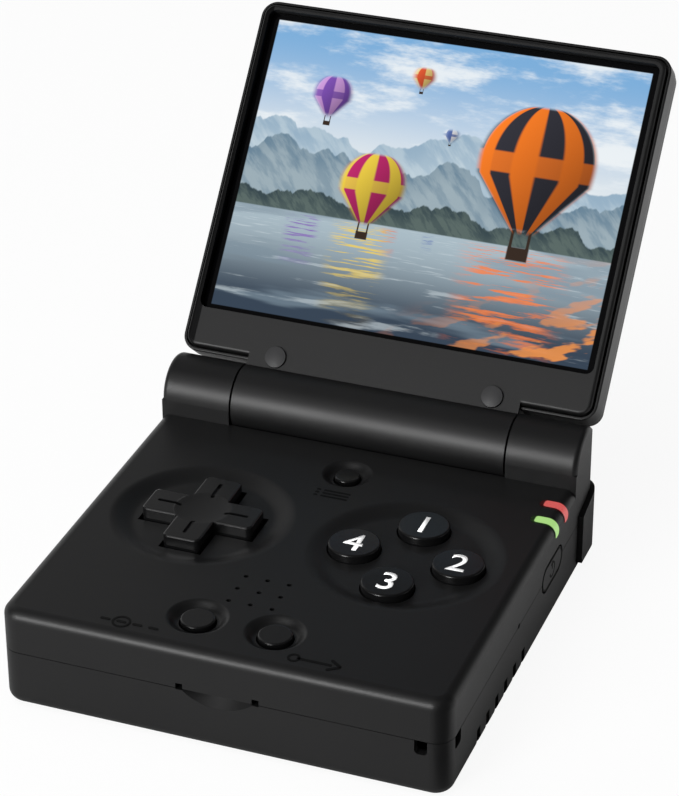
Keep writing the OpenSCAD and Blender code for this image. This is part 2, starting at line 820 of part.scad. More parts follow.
// Rubber dome that returns a button, from the board up to the button's foot.
module dome(top, r) {
    translate([0, 0, board_z]) rotate_extrude()
        polygon([[0, 0], [r, 0], [r, sheet_t], [r - 0.9, top - board_z - 0.5], [r - 1.1, top - board_z], [0, top - board_z]]);
}

module dpad_membrane() {
    color("#9aa0a6") translate([-dpad_x, control_y, 0]) difference() {
        union() {
            translate([0, 0, board_z]) cylinder(r = dpad_span / 2 + 0.1, h = sheet_t);
            for (a = [0 : 90 : 270]) rotate(a) translate([dpad_span / 2 - 3.2, 0, 0]) dome(dpad_flange_low - flange_gap, 3);
        }
        translate([0, 0, board_z - 1]) cylinder(r = ball_r + 0.6, h = far);
    }
}

module action_membrane() {
    top = plate_under - flange_gap - button_flange_t;
    color("#9aa0a6") {
        translate([action_x, control_y, board_z]) linear_extrude(sheet_t) {
            square([action_pitch, 4], center = true);
            square([4, action_pitch], center = true);
            for (i = [0 : 3]) translate(action_place(i) - [action_x, control_y]) circle(action_r);
        }
        for (i = [0 : 3]) translate(action_place(i)) dome(top, 3.4);
    }
}

module front_membrane() {
    top = bowl_under - flange_gap - button_flange_t;
    color("#9aa0a6") {
        translate([front_x, select_y, board_z]) linear_extrude(sheet_t)
            stadium(2 * select_off + front_mat_w, front_mat_w);
        for (i = [0, 1]) translate([SMALL_BUTTONS[i][0], SMALL_BUTTONS[i][1], 0]) dome(top, 2.8);
    }
}

module menu_membrane() {
    top = bowl_under - flange_gap - button_flange_t;
    color("#9aa0a6") translate([menu_x, menu_y, 0]) {
        translate([0, 0, board_z]) cylinder(r = 3.8, h = sheet_t);
        dome(top, 2.6);
    }
}

module screw(l) {
    difference() {
        union() {
            cylinder(r = screw_head_r, h = screw_head_t);
            cylinder(r = screw_r - 0.12, h = l, $fn = 24);
        }
        for (a = [0, 90]) rotate(a) cube([2.2, 0.5, 1.2], center = true);
    }
}

module case_screws() {
    color("#6d7074") for (p = SCREWS) translate([p[0], p[1], screw_seat - screw_head_t]) screw(case_screw_l);
}

module cover_screw() {
    color("#6d7074") translate([0, cover_screw_y, 0.05]) difference() {
        union() {
            cylinder(r = screw_head_r, h = 0.75);
            cylinder(r = screw_r - 0.12, h = 4.6, $fn = 24);
        }
        for (a = [0, 90]) rotate(a) cube([2.2, 0.5, 0.8], center = true);
    }
}

module hinge_cartridge() {
    color("#a3a7ab") at_hinge() difference() {
        along_x(knuckle_x, knuckle_x + cartridge_l - 0.1, cartridge_r);
        along_x(knuckle_x - 1, knuckle_x + cartridge_l - 1.1, shaft_r + run_fit);
    }
}

module hinge_sleeve() {
    color("#a3a7ab") at_hinge() difference() {
        along_x(-knuckle_x - sleeve_l + 0.1, -knuckle_x + knuckle_gap + sleeve_in, sleeve_r);
        along_x(-far, 0, sleeve_r - sleeve_bore);
    }
}

module shoulder_pins() {
    color("#a3a7ab") for (s = [-1, 1], x = [trigger_split + pivot_in, trigger_inner + pivot_in])
        translate([s * x, pivot_y, pivot_floor]) cylinder(r = pivot_r, h = pivot_top - pivot_floor, $fn = 32);
}

module shoulder_boards() {
    color("#1f4d34") for (s = [-1, 1])
        span_box([s > 0 ? trigger_inner + 1 : shoulder_board_in - half_w, trigger_board_y - shoulder_board_t, floor_t],
            [s > 0 ? half_w - shoulder_board_in : -trigger_inner - 1, trigger_board_y, board_z - board_t - 0.3]);
}

module shoulder_switches() {
    color("#c3c6c9") for (s = [-1, 1], x = SWITCH_X) translate([s * x, trigger_board_y, switch_z]) rotate([-90, 0, 0]) {
        translate([-switch_w / 2, -switch_h / 2, 0]) cube([switch_w, switch_h, switch_deep]);
        cylinder(r = 1.1, h = trigger_face_y - 0.5 - trigger_board_y, $fn = 24);
    }
}

module side_switch(y, w) {
    on_side(y, side_switch_z, half_w - side_switch_in - side_switch_t) {
        translate([-w / 2, -side_switch_h / 2, 0]) cube([w, side_switch_h, side_switch_t]);
        cylinder(r = 0.9, h = side_switch_t + 1.2, $fn = 24);
    }
}

module side_switches() {
    color("#c3c6c9") {
        side_switch(power_y, side_switch_w);
        for (s = [-1, 1]) mirror([1, 0, 0]) side_switch(rocker_y + s * rocker_switch_w, rocker_switch_w);
    }
}

module dpad_ball() {
    color("#c3c6c9") translate([-dpad_x, control_y, board_z + ball_r + fit_gap]) sphere(r = ball_r);
}

// One bar of the cross with rounded upper edges.
module dpad_bar(l, w, z0, z1) {
    corner = 1.1;
    edge = 0.35;
    hull() {
        for (sx = [-1, 1], sy = [-1, 1], a = [0 : 30 : 90])
            translate([sx * (l / 2 - corner), sy * (w / 2 - corner), z0])
                cylinder(r = corner - edge * (1 - cos(a)), h = z1 - z0 - edge * (1 - sin(a)), $fn = 32);
    }
}

module dpad_cap() {
    top = base_h + dpad_rise;
    color("#303134") translate([-dpad_x, control_y, 0]) difference() {
        union() {
            dpad_bar(dpad_span, dpad_arm, dpad_flange_low, top);
            dpad_bar(dpad_arm, dpad_span, dpad_flange_low, top);
            translate([0, 0, dpad_flange_low]) cylinder(r = dpad_flange_r, h = button_flange_t);
        }
        translate([0, 0, board_z + ball_r + fit_gap]) sphere(r = ball_r + run_fit);
        translate([0, 0, dpad_flange_low - 1]) cylinder(r = ball_r + run_fit, h = 1 + ball_r * 0.1);
        translate([0, 0, top + 17.2]) sphere(r = 18, $fn = 96);
        for (a = [0 : 90 : 270]) rotate(a) translate([dpad_span / 2 - dpad_mark_in, 0, top - dpad_mark_t])
            linear_extrude(1) stadium(dpad_mark_l, dpad_mark_w);
    }
}

// Round button: rounded cap, stem and the flange that keeps it in.
module round_button(r, top, under, flange_w) {
    edge = 0.35;
    low = under - flange_gap - button_flange_t;
    rotate_extrude()
        polygon(concat(
            [[0, low], [r + flange_w, low], [r + flange_w, under - flange_gap], [r, under - flange_gap]],
            [for (a = [0 : 15 : 90]) [r - edge + edge * cos(a), top - edge + edge * sin(a)]],
            [[0, top]]
        ));
}

module action_button(i) {
    color("#303134") translate(action_place(i))
        round_button(action_r, base_h + action_rise, plate_under, action_flange_w);
}

module small_button(i) {
    b = SMALL_BUTTONS[i];
    color("#303134") translate([b[0], b[1], 0])
        round_button(b[2], base_h - small_sink, bowl_under, small_flange_w);
}

module action_button_1() { action_button(0); }
module action_button_2() { action_button(1); }
module action_button_3() { action_button(2); }
module action_button_4() { action_button(3); }
module select_button() { small_button(0); }
module start_button() { small_button(1); }
module menu_button() { small_button(2); }

// Key in a side wall: a bar with round ends and a flange behind the wall.
module side_key(l, h, rise) {
    back = wall + side_flange + side_stem;
    translate([0, 0, -back]) linear_extrude(back + rise) stadium(l, h);
    translate([0, 0, -back]) linear_extrude(side_flange) stadium(l + 2 * flange_over, h + 2 * flange_over);
}

module power_button() {
    color("#303134") on_side(power_y, key_z, half_w) side_key(power_l, power_h, 0);
}

module volume_rocker() {
    half_pin = rocker_h / 2 + flange_over + rocker_pin_l;
    color("#303134") {
        mirror([1, 0, 0]) on_side(rocker_y, key_z, half_w) side_key(rocker_l, rocker_h, rocker_rise);
        translate([-rocker_pin_x, rocker_y, key_z - half_pin]) cylinder(r = rocker_pin_r, h = 2 * half_pin, $fn = 24);
    }
}

// ---- shoulder buttons, drawn on the right ----

// Upright outline of the shoulder buttons, seen from the side.
module trigger_side_2d(gap) {
    polygon([
        [trigger_front - gap, trigger_foot - gap],
        [half_d + 3, trigger_foot - gap],
        [half_d + 3, trigger_top + gap],
        [half_d - 1.5, trigger_top + gap],
        [trigger_front - gap, trigger_low + gap]
    ]);
}

module trigger_skin(x0, x1) {
    intersection() {
        difference() {
            translate([0, 0, -trigger_rise])
                slab(body_w + 2 * trigger_rise, body_d + 2 * trigger_rise, base_h,
                    corner_r + trigger_rise, 0, bottom_edge_r + trigger_rise);
            translate([0, 0, floor_t + 0.2])
                slab(body_w + 2 * trigger_rise - 2 * trigger_t, body_d + 2 * trigger_rise - 2 * trigger_t, base_h,
                    corner_r + trigger_rise - trigger_t, 0, 1);
            translate([0, 0, -1]) linear_extrude(far)
                rounded_rect(pocket_w + 2 * trigger_reach, pocket_d + 2 * trigger_reach, 1);
        }
        translate([x0, 0, 0]) rotate([90, 0, 90]) linear_extrude(x1 - x0) trigger_side_2d(0);
    }
}

module trigger_pivot(x) {
    translate([x, pivot_y, pivot_low]) difference() {
        union() {
            cylinder(r = pivot_r + pivot_wall, h = pivot_high - pivot_low, $fn = 48);
            translate([-1.2, 0, 0]) cube([2.4, trigger_face_y - pivot_y + 0.3, pivot_high - pivot_low]);
        }
        translate([0, 0, -1]) cylinder(r = pivot_r + run_fit, h = far, $fn = 48);
    }
}

module outer_trigger() {
    trigger_skin(trigger_split + 0.2, far);
    trigger_pivot(trigger_split + pivot_in);
}

module inner_trigger() {
    trigger_skin(trigger_inner, trigger_split - 0.2);
    trigger_pivot(trigger_inner + pivot_in);
}

// Opening in the walls for both buttons of one side.
module trigger_pocket() {
    intersection() {
        difference() {
            span_box([trigger_inner - trigger_play, trigger_front - trigger_gap, trigger_foot - trigger_play], [half_w + 2, half_d + 2, far]);
            translate([0, 0, -1]) linear_extrude(far) rounded_rect(pocket_w, pocket_d, 1);
        }
        rotate([90, 0, 90]) linear_extrude(far) {
            trigger_side_2d(trigger_play);
            translate([trigger_front - trigger_gap, trigger_foot - trigger_play])
                square([trigger_gap, trigger_low - trigger_foot + 2 * trigger_play]);
        }
    }
}

module shoulder_outer_right() { color("#303134") outer_trigger(); }
module shoulder_inner_right() { color("#303134") inner_trigger(); }
module shoulder_outer_left() { color("#303134") mirror([1, 0, 0]) outer_trigger(); }
module shoulder_inner_left() { color("#303134") mirror([1, 0, 0]) inner_trigger(); }

// ---- lid, in its own axes ----

module lid_rect(half, low, top, r) {
    translate([0, (low + top) / 2]) rounded_rect(2 * half, top - low, r);
}

module lid_slab(half, low, top, z0, z1, r, face_r, back_r) {
    translate([0, (low + top) / 2, z0]) slab(2 * half, top - low, z1 - z0, r, face_r, back_r);
}

module lid_bezel() {
    color("#3a3b3e") lid_place() difference() {
        union() {
            difference() {
                lid_slab(bezel_half_w, bezel_low, bezel_top, ledge_z + 0.1, lid_face, lid_corner_r - bezel_in, bezel_edge_r, 0);
                translate([0, 0, -far / 2]) linear_extrude(far) lid_rect(window_half_w, window_low, window_top, 1.6);
            }
            span_box([-barrel_l / 2, 0, neck_back], [barrel_l / 2, bezel_low + 1, lid_face]);
            along_x(-barrel_l / 2, barrel_l / 2, barrel_r);
        }
        along_x(-barrel_l / 2 - 1, -barrel_l / 2 + sleeve_in + 0.4, sleeve_r + run_fit);
        along_x(-barrel_l / 2, -barrel_l / 2 + sleeve_in + 8, sleeve_r - sleeve_bore);
        span_box([-barrel_l / 2 + sleeve_in + 1, -1, ribbon_z - 2 * ribbon_t],
            [-barrel_l / 2 + sleeve_in + 8, bezel_low + 2, neck_back + 1]);
        along_x(barrel_l / 2 - head_l, barrel_l / 2 + 1, head_r + 0.02);
        for (s = [-1, 1]) translate([s * pad_x, pad_y, 0]) {
            translate([0, 0, lid_face - pad_sink]) cylinder(r = pad_r + 0.1, h = 2);
            translate([0, 0, lid_face - pad_sink - 0.9]) cylinder(r = screw_head_r + 0.1, h = 2);
            translate([0, 0, -far / 2]) cylinder(r = screw_r + 0.15, h = far, $fn = 24);
        }
    }
}

module lid_back_shell() {
    color("#2b2c2e") lid_place() difference() {
        union() {
            difference() {
                lid_slab(lid_half_w, lid_low, lid_top, lid_back, rim_z, lid_corner_r, 0.3, lid_back_edge);
                lid_slab(window_half_w, lid_low + 1.5, window_top, lid_floor, far, 1.6, 0, 1);
                translate([0, 0, ledge_z]) linear_extrude(far)
                    lid_rect(lid_half_w - rim_t, lid_low + rim_t, lid_top - rim_t, lid_corner_r - rim_t);
            }
            span_box([-barrel_l / 2, fairing_low, lid_back], [barrel_l / 2, lid_low + 1.5, neck_back - 0.1]);
            for (s = [-1, 1]) translate([s * pad_x, pad_y, lid_floor]) cylinder(r = 2.6, h = neck_back - 0.1 - lid_floor);
        }
        along_x(-far, far, barrel_r + fit_gap);
        span_box([-barrel_l / 2 - 0.15, 0, neck_back - 0.05], [barrel_l / 2 + 0.15, lid_low + 3, far]);
        span_box([-barrel_l / 2 + sleeve_in + 1, 3, lid_floor], [-barrel_l / 2 + sleeve_in + 8, lid_low + 2, far]);
        for (s = [-1, 1]) translate([s * pad_x, pad_y, lid_floor]) cylinder(r = screw_r - 0.1, h = far, $fn = 24);
    }
}

module screen_glass() {
    color("#0c0d10") lid_place() translate([0, 0, panel_z]) linear_extrude(glass_t)
        lid_rect(window_half_w - stack_gap, window_low + stack_gap, window_top - stack_gap, 1.5);
}

module display_panel() {
    color("#5b6a78") lid_place() translate([0, 0, panel_z - panel_t]) linear_extrude(panel_t)
        lid_rect(window_half_w - 3 * stack_gap, window_low + 3 * stack_gap, window_top - 3 * stack_gap, 0.8);
}

module panel_foam() {
    color("#4a4a4a") lid_place() translate([0, 0, lid_floor]) linear_extrude(panel_z - panel_t - lid_floor)
        difference() {
            lid_rect(window_half_w - 3, window_low + 2, window_top - 3, 2);
            lid_rect(window_half_w - 9, window_low + 8, window_top - 9, 2);
            translate([ribbon_x - 0.4, 0]) square([ribbon_w + 0.8, window_low + ribbon_up + 0.4]);
        }
}

module lid_pads() {
    color("#56575a") lid_place() for (s = [-1, 1]) translate([s * pad_x, pad_y, lid_face - pad_sink])
        cylinder(r = pad_r, h = pad_sink + pad_rise);
}

module lid_screws() {
    color("#6d7074") lid_place() for (s = [-1, 1])
        translate([s * pad_x, pad_y, lid_face - pad_sink - 0.05]) rotate([180, 0, 0]) difference() {
            union() {
                cylinder(r = screw_head_r, h = 0.8);
                cylinder(r = screw_r - 0.12, h = 6.2, $fn = 24);
            }
            for (a = [0, 90]) rotate(a) cube([2.2, 0.5, 0.8], center = true);
        }
}

module lid_magnet() {
    color("#c3c6c9") lid_place() translate([half_w - 8, lid_low + 4.2, lid_floor])
        cylinder(r = 2, h = ledge_z - lid_floor);
}

module hinge_shaft() {
    color("#c3c6c9") at_hinge() {
        along_x(barrel_l / 2 - 0.4, knuckle_x + cartridge_l - 1.4, shaft_r);
        along_x(barrel_l / 2 - head_l + 0.1, barrel_l / 2 - 0.1, head_r);
    }
}

module display_cable() {
    color("#b06a2c") lid_place() {
        along_x(-knuckle_x - chase_l + 0.6, ribbon_x + ribbon_w, sleeve_r - sleeve_bore - 0.2);
        span_box([ribbon_x, -ribbon_t, ribbon_z - ribbon_t], [ribbon_x + ribbon_w, ribbon_t, 0]);
        span_box([ribbon_x, 0, ribbon_z - ribbon_t], [ribbon_x + ribbon_w, window_low + ribbon_up, ribbon_z]);
    }
}

base_top_shell();
base_bottom_shell();
battery_cover();
battery_pack();
mainboard();
usb_socket();
audio_socket();
card_socket();
sound_driver();
led_red_guide();
led_green_guide();
dpad_membrane();
action_membrane();
front_membrane();
menu_membrane();
case_screws();
cover_screw();
hinge_cartridge();
hinge_sleeve();
shoulder_pins();
shoulder_boards();
shoulder_switches();
side_switches();
dpad_ball();
dpad_cap();
action_button_1();
action_button_2();
action_button_3();
action_button_4();
select_button();
start_button();
menu_button();
power_button();
volume_rocker();
shoulder_outer_right();
shoulder_inner_right();
shoulder_outer_left();
shoulder_inner_left();
lid_bezel();
lid_back_shell();
screen_glass();
display_panel();
panel_foam();
lid_pads();
lid_screws();
lid_magnet();
hinge_shaft();
display_cable();
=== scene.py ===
"""Dresses the clamshell handheld console: finishes, printed marks, screen picture, stage."""

import logging
import math
from dataclasses import dataclass, field
from enum import Enum
from typing import Iterable, Sequence, Union

import bpy
from mathutils import Euler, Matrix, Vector


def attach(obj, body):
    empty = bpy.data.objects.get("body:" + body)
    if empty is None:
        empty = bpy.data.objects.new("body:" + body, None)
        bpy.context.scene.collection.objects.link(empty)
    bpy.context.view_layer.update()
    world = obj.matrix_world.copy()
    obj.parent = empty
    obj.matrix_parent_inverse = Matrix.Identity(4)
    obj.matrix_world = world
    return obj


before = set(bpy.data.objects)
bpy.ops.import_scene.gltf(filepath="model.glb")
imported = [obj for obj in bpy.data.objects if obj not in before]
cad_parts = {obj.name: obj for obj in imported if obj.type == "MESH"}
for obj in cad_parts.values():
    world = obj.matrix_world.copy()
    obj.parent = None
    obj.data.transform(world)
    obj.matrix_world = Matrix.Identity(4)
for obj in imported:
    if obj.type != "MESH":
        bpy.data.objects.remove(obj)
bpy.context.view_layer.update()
LOG = logging.getLogger("console")
MM = 0.001
# Middle of the hinge barrel, y and z in mm, and how far the lid leans from level at rest.
HINGE = (36.1, 22.7)
LEAN = 49.7
Number = Union[int, float]
Value = Union["Sock", int, float]
Triple = tuple[float, float, float]
Colour = Triple
Pair = tuple[float, float]
Piece = bpy.types.Object


# ---- shader expressions ----


class Sock:
    """A shader socket that builds Math nodes when it is used in an expression."""

    def __init__(self, shader: "Shader", link: bpy.types.NodeSocket) -> None:
        """Keeps the shader and the socket.

        Args:
            shader: The shader whose tree the socket is in.
            link: The output socket that this value stands for.
        """
        self.shader = shader
        self.link = link

    def _op(self, kind: str, *values: Value) -> "Sock":
        """Adds one Math node of that kind over the values."""
        return self.shader.node("ShaderNodeMath", {"operation": kind}, dict(enumerate(values)))

    def __add__(self, other: Value) -> "Sock":
        """Sum."""
        return self._op("ADD", self, other)

    def __radd__(self, other: Value) -> "Sock":
        """Sum, reflected."""
        return self._op("ADD", other, self)

    def __sub__(self, other: Value) -> "Sock":
        """Difference."""
        return self._op("SUBTRACT", self, other)

    def __rsub__(self, other: Value) -> "Sock":
        """Difference, reflected."""
        return self._op("SUBTRACT", other, self)

    def __mul__(self, other: Value) -> "Sock":
        """Product."""
        return self._op("MULTIPLY", self, other)

    def __truediv__(self, other: Value) -> "Sock":
        """Quotient."""
        return self._op("DIVIDE", self, other)

    def __rtruediv__(self, other: Value) -> "Sock":
        """Quotient, reflected."""
        return self._op("DIVIDE", other, self)

    def __pow__(self, other: Value) -> "Sock":
        """Power."""
        return self._op("POWER", self, other)

    def __abs__(self) -> "Sock":
        """Absolute value."""
        return self._op("ABSOLUTE", self)

    def sqrt(self) -> "Sock":
        """Square root, 0 for a negative value."""
        return self._op("SQRT", self.high(0))

    def sin(self) -> "Sock":
        """Sine."""
        return self._op("SINE", self)

    def asin(self) -> "Sock":
        """Arc sine of the value held to -1 to 1."""
        return self._op("ARCSINE", self.low(1).high(-1))

    def wrap(self, length: Number) -> "Sock":
        """Distance from the nearest whole multiple of a length."""
        return abs(self._op("FLOORED_MODULO", self + length / 2, length) - length / 2)

    def low(self, other: Value) -> "Sock":
        """The smaller of two values."""
        return self._op("MINIMUM", self, other)

    def high(self, other: Value) -> "Sock":
        """The larger of two values."""
        return self._op("MAXIMUM", self, other)

    def ramp(self, start: Value, end: Value) -> "Sock":
        """Smooth step from 0 to 1.

        Args:
            start: Value that gives 0; it may be the larger of the two.
            end: Value that gives 1.

        Returns:
            The step.
        """
        if not isinstance(start, Sock) and not isinstance(end, Sock) and start > end:
            return 1 - self.ramp(end, start)
        return self.shader.node(
            "ShaderNodeMapRange", {"interpolation_type": "SMOOTHSTEP"},
            {0: self, 1: start, 2: end, 3: 0.0, 4: 1.0})


class Shader:
    """Builds nodes in one tree."""

    def __init__(self, tree: bpy.types.NodeTree) -> None:
        """Takes a tree and empties it.

        Args:
            tree: The tree to build in.
        """
        self.tree = tree
        self.tree.nodes.clear()

    def node(self, kind: str, settings: dict, values: dict, output: Union[int, str] = 0) -> Sock:
        """Adds a node, sets it, and fills its inputs.

        Args:
            kind: The node's type.
            settings: Attributes that are set before the inputs.
            values: Inputs by number or name, as numbers, tuples or sockets.
            output: The output to return.

        Returns:
            The chosen output as a Sock.
        """
        made = self.tree.nodes.new(kind)
        for key, value in settings.items():
            setattr(made, key, value)
        for key, value in values.items():
            if isinstance(value, Sock):
                self.tree.links.new(value.link, made.inputs[key])
            else:
                made.inputs[key].default_value = value
        return Sock(self, made.outputs[output])

    def place(self) -> Sock:
        """The object coordinates, in metres."""
        return self.node("ShaderNodeTexCoord", {}, {}, "Object")

    def axes(self, vector: Sock) -> tuple[Sock, Sock, Sock]:
        """Splits a vector.

        Args:
            vector: The vector.

        Returns:
            Its three components.
        """
        made = self.tree.nodes.new("ShaderNodeSeparateXYZ")
        self.tree.links.new(vector.link, made.inputs[0])
        return tuple(Sock(self, out) for out in made.outputs)

    def spot(self) -> tuple[Sock, Sock, Sock]:
        """The object coordinates as three values in millimetres."""
        return tuple(axis * 1000 for axis in self.axes(self.place()))

    def point(self, x: Value, y: Value, z: Value = 0.0) -> Sock:
        """A vector of three values."""
        return self.node("ShaderNodeCombineXYZ", {}, {0: x, 1: y, 2: z})

    def noise(self, vector: Sock, scale: Number, detail: Number = 2.0, rough: Number = 0.5) -> Sock:
        """Noise from 0 to 1.

        Args:
            vector: Where it is read.
            scale: Waves in one unit of the vector.
            detail: Octaves.
            rough: Strength of each next octave.

        Returns:
            The noise.
        """
        return self.node(
            "ShaderNodeTexNoise", {"noise_dimensions": "3D"},
            {"Vector": vector, "Scale": scale, "Detail": detail, "Roughness": rough}, "Fac")

    def cells(self, vector: Sock, scale: Number) -> Sock:
        """Distance from the middle of the nearest Voronoi cell."""
        return self.node("ShaderNodeTexVoronoi", {}, {"Vector": vector, "Scale": scale}, "Distance")

    def blend(self, amount: Value, first: Union[Sock, Colour], second: Union[Sock, Colour]) -> Sock:
        """Mixes two colours.

        Args:
            amount: Share of the second colour.
            first: Colour at 0.
            second: Colour at 1.

        Returns:
            The mixed colour.
        """
        first = first if isinstance(first, Sock) else (*first, 1.0)
        second = second if isinstance(second, Sock) else (*second, 1.0)
        return self.node(
            "ShaderNodeMix", {"data_type": "RGBA", "clamp_factor": True},
            {0: amount, 6: first, 7: second}, 2)

    def ray(self, kind: str) -> Sock:
        """1 on a ray of one kind, such as Is Camera Ray, and 0 on any other."""
        return self.node("ShaderNodeLightPath", {}, {}, kind)

    def mirrored(self) -> Sock:
        """1 where a glossy or clear surface shows what is being shaded, and 0 elsewhere."""
        return self.ray("Is Glossy Ray").high(self.ray("Is Transmission Ray"))

    def dim(self, colour: Sock, share: Value) -> Sock:
        """Multiplies a colour by a value.

        Args:
            colour: The colour.
            share: The value.

        Returns:
            The dimmed colour.
        """
        return self.node(
            "ShaderNodeMix", {"data_type": "RGBA", "blend_type": "MULTIPLY"},
            {0: 1.0, 6: colour, 7: self.point(share, share, share)}, 2)


class Surface(Shader):
    """Builds one material round a Principled shader."""

    def __init__(self, name: str) -> None:
        """Makes the material.

        Args:
            name: The material's name.
        """
        self.material = bpy.data.materials.new(name)
        self.material.use_nodes = True
        super().__init__(self.material.node_tree)
        self.output = self.tree.nodes.new("ShaderNodeOutputMaterial")
        self.surface = self.tree.nodes.new("ShaderNodeBsdfPrincipled")
        self.tree.links.new(self.surface.outputs[0], self.output.inputs["Surface"])

    def bump(self, height: Sock, distance: Number) -> None:
        """Feeds the shader's normal from a height.

        Args:
            height: Height from 0 to 1.
            distance: What 1 stands for, in metres.
        """
        self.put(Normal=self.node(
            "ShaderNodeBump", {}, {"Height": height, "Distance": distance, "Strength": 1.0}))

    def put(self, **inputs: Union[Sock, Number, tuple]) -> None:
        """Sets or links inputs of the Principled shader.

        Args:
            **inputs: Values or sockets by the input's name, with an underscore for a blank.
        """
        for key, value in inputs.items():
            name = key.replace("_", " ")
            if isinstance(value, Sock):
                self.tree.links.new(value.link, self.surface.inputs[name])
            else:
                self.surface.inputs[name].default_value = value


# ---- finishes ----


def up_the_lid(y: Sock, z: Sock) -> Sock:
    """Distance from the hinge's middle up the lid at rest, in mm."""
    lean = math.radians(LEAN)
    return (y - HINGE[0]) * math.cos(lean) + (z - HINGE[1]) * math.sin(lean)


def shade(colour: Colour, share: float) -> Colour:
    """A colour times a share."""
    return tuple(value * share for value in colour)


@dataclass(frozen=True)
class Moulded:
    """Moulded plastic or rubber with a fine spark-eroded texture and faint handling marks."""

    name: str
    dark: Colour
    light: Colour
    rough: float = 0.42
    grain: float = 9000.0
    depth: float = 0.000010
    gloss: float = 0.28

    def make(self) -> bpy.types.Material:
        """Builds the material.

        Returns:
            The material.
        """
        shader = Surface(self.name)
        where = shader.place()
        broad = shader.noise(where, 60, 3)
        fine = shader.noise(where, self.grain, 2, 0.6)
        rubbed = shader.noise(where, 260, 4, 0.65).ramp(0.55, 0.8)
        shader.put(
            Base_Color=shader.blend(broad * 0.6 + fine * 0.4, self.dark, self.light),
            Roughness=self.rough + (broad - 0.5) * 0.08 + (fine - 0.5) * 0.06 - rubbed * 0.03,
            Specular_IOR_Level=self.gloss)
        self.relief(shader, fine)
        return shader.material

    def relief(self, shader: Surface, fine: Sock) -> None:
        """Feeds the texture's height to the normal."""
        shader.bump(fine, self.depth)


@dataclass(frozen=True)
class Swollen(Moulded):
    """Moulded plastic whose face swells softly round a middle, on the base or up the lid."""

    middle: Pair = (0.0, 0.0)
    radius: float = 1.0
    swell: float = 0.0003
    on_lid: bool = False

    def relief(self, shader: Surface, fine: Sock) -> None:
        """Feeds the swelling and the texture to the normal.

        Args:
            shader: The finish's shader.
            fine: The texture.
        """
        x, y, z = shader.spot()
        aside = (abs(x) if self.on_lid else x) - self.middle[0]
        ahead = (up_the_lid(y, z) if self.on_lid else y) - self.middle[1]
        crown = (1 - (aside * aside + ahead * ahead) / self.radius ** 2).high(0)
        shader.bump(crown + fine * (self.depth / self.swell), self.swell)


@dataclass(frozen=True)
class Bezel(Moulded):
    """Moulded plastic with a strip of painted shade along its left edge, made metallic so it
    mirrors nothing and stays dark.
    """

    painted_shade_from: float = -38.9

    def relief(self, shader: Surface, fine: Sock) -> None:
        """Adds the painted shade strip, which mirrors nothing, and the texture.

        Args:
            shader: The finish's shader.
            fine: The texture.
        """
        x = shader.spot()[0]
        # Painted shade: the bezel's left strip is made metallic over its near-black colour, so it
        # stays dark.
        shader.put(Metallic=x.ramp(self.painted_shade_from + 0.1, self.painted_shade_from - 0.1) * 0.9)
        shader.bump(fine, self.depth)


@dataclass(frozen=True)
class Metal:
    """Bare or blackened metal with fine turned or brushed lines."""

    name: str
    tone: Colour
    rough: float = 0.3
    stretch: Triple = (1.0, 40.0, 40.0)

    def make(self) -> bpy.types.Material:
        """Builds the material.

        Returns:
            The material.
        """
        shader = Surface(self.name)
        x, y, z = shader.axes(shader.place())
        stretched = shader.point(x * self.stretch[0], y * self.stretch[1], z * self.stretch[2])
        lines = shader.noise(stretched, 400, 3, 0.6)
        stain = shader.noise(shader.place(), 500, 3)
        shader.put(
            Base_Color=shader.blend(stain * 0.5 + lines * 0.5, shade(self.tone, 0.72), self.tone),
            Metallic=1.0, Roughness=self.rough + (lines - 0.5) * 0.16)
        shader.bump(lines, 0.000008)
        return shader.material


@dataclass(frozen=True)
class Foam:
    """Open foam, its pores painted darker: painted shade in the holes."""

    name: str
    tone: Colour

    def make(self) -> bpy.types.Material:
        """Builds the material.

        Returns:
            The material.
        """
        shader = Surface(self.name)
        pores = shader.cells(shader.place(), 3500)
        # Painted shade: the colour is darker in the pores.
        shader.put(
            Base_Color=shader.blend(pores, shade(self.tone, 0.3), self.tone),
            Roughness=0.95, Specular_IOR_Level=0.15)
        shader.bump(pores, 0.00015)
        return shader.material


@dataclass(frozen=True)
class Board:
    """Circuit board: solder mask over traces, tinned pads and the bare edge of the laminate."""

    name: str
    mask: Colour
    trace: Colour
    tin: Colour = (0.55, 0.52, 0.46)
    pitch: float = 1.1

    def make(self) -> bpy.types.Material:
        """Builds the material.

        Returns:
            The material.
        """
        shader = Surface(self.name)
        x, y, z = shader.spot()
        zone = shader.noise(shader.point(x, y, z), 0.09, 1)
        along, across, slant = (
            way.wrap(self.pitch).ramp(0.32, 0.24) for way in (x, y, (x + y) * 0.707))
        lines = along * zone.ramp(0.52, 0.54) + across * zone.ramp(0.44, 0.42)
        lines = (lines + slant * zone.ramp(0.42, 0.44) * zone.ramp(0.54, 0.52)).low(1)
        pads = shader.cells(shader.point(x, y, 0.0), 0.45).ramp(0.16, 0.13)
        colour = shader.blend(lines, self.mask, self.trace)
        shader.put(
            Base_Color=shader.blend(pads, colour, self.tin), Metallic=pads * 0.9,
            Roughness=0.34 + lines * 0.06 + (zone - 0.5) * 0.1, Specular_IOR_Level=0.5)
        shader.bump(lines * 0.5 + pads * 0.5, 0.00004)
        return shader.material


@dataclass(frozen=True)
class Wrap:
    """Foil or film wrap with soft creases and a folded seam along one side."""

    name: str
    tone: Colour
    crease: float = 90.0
    rough: float = 0.3
    depth: float = 0.0002

    def make(self) -> bpy.types.Material:
        """Builds the material.

        Returns:
            The material.
        """
        shader = Surface(self.name)
        where = shader.place()
        creases = shader.noise(where, self.crease, 4, 0.55)
        seam = shader.spot()[1].wrap(11).ramp(0.25, 0.1)
        shader.put(
            Base_Color=shader.blend(creases * 0.8 + seam * 0.2, self.tone, shade(self.tone, 1.7)),
            Roughness=self.rough + (creases - 0.5) * 0.2, Specular_IOR_Level=0.5)
        shader.bump(creases * 0.7 + seam * 0.3, self.depth)
        return shader.material


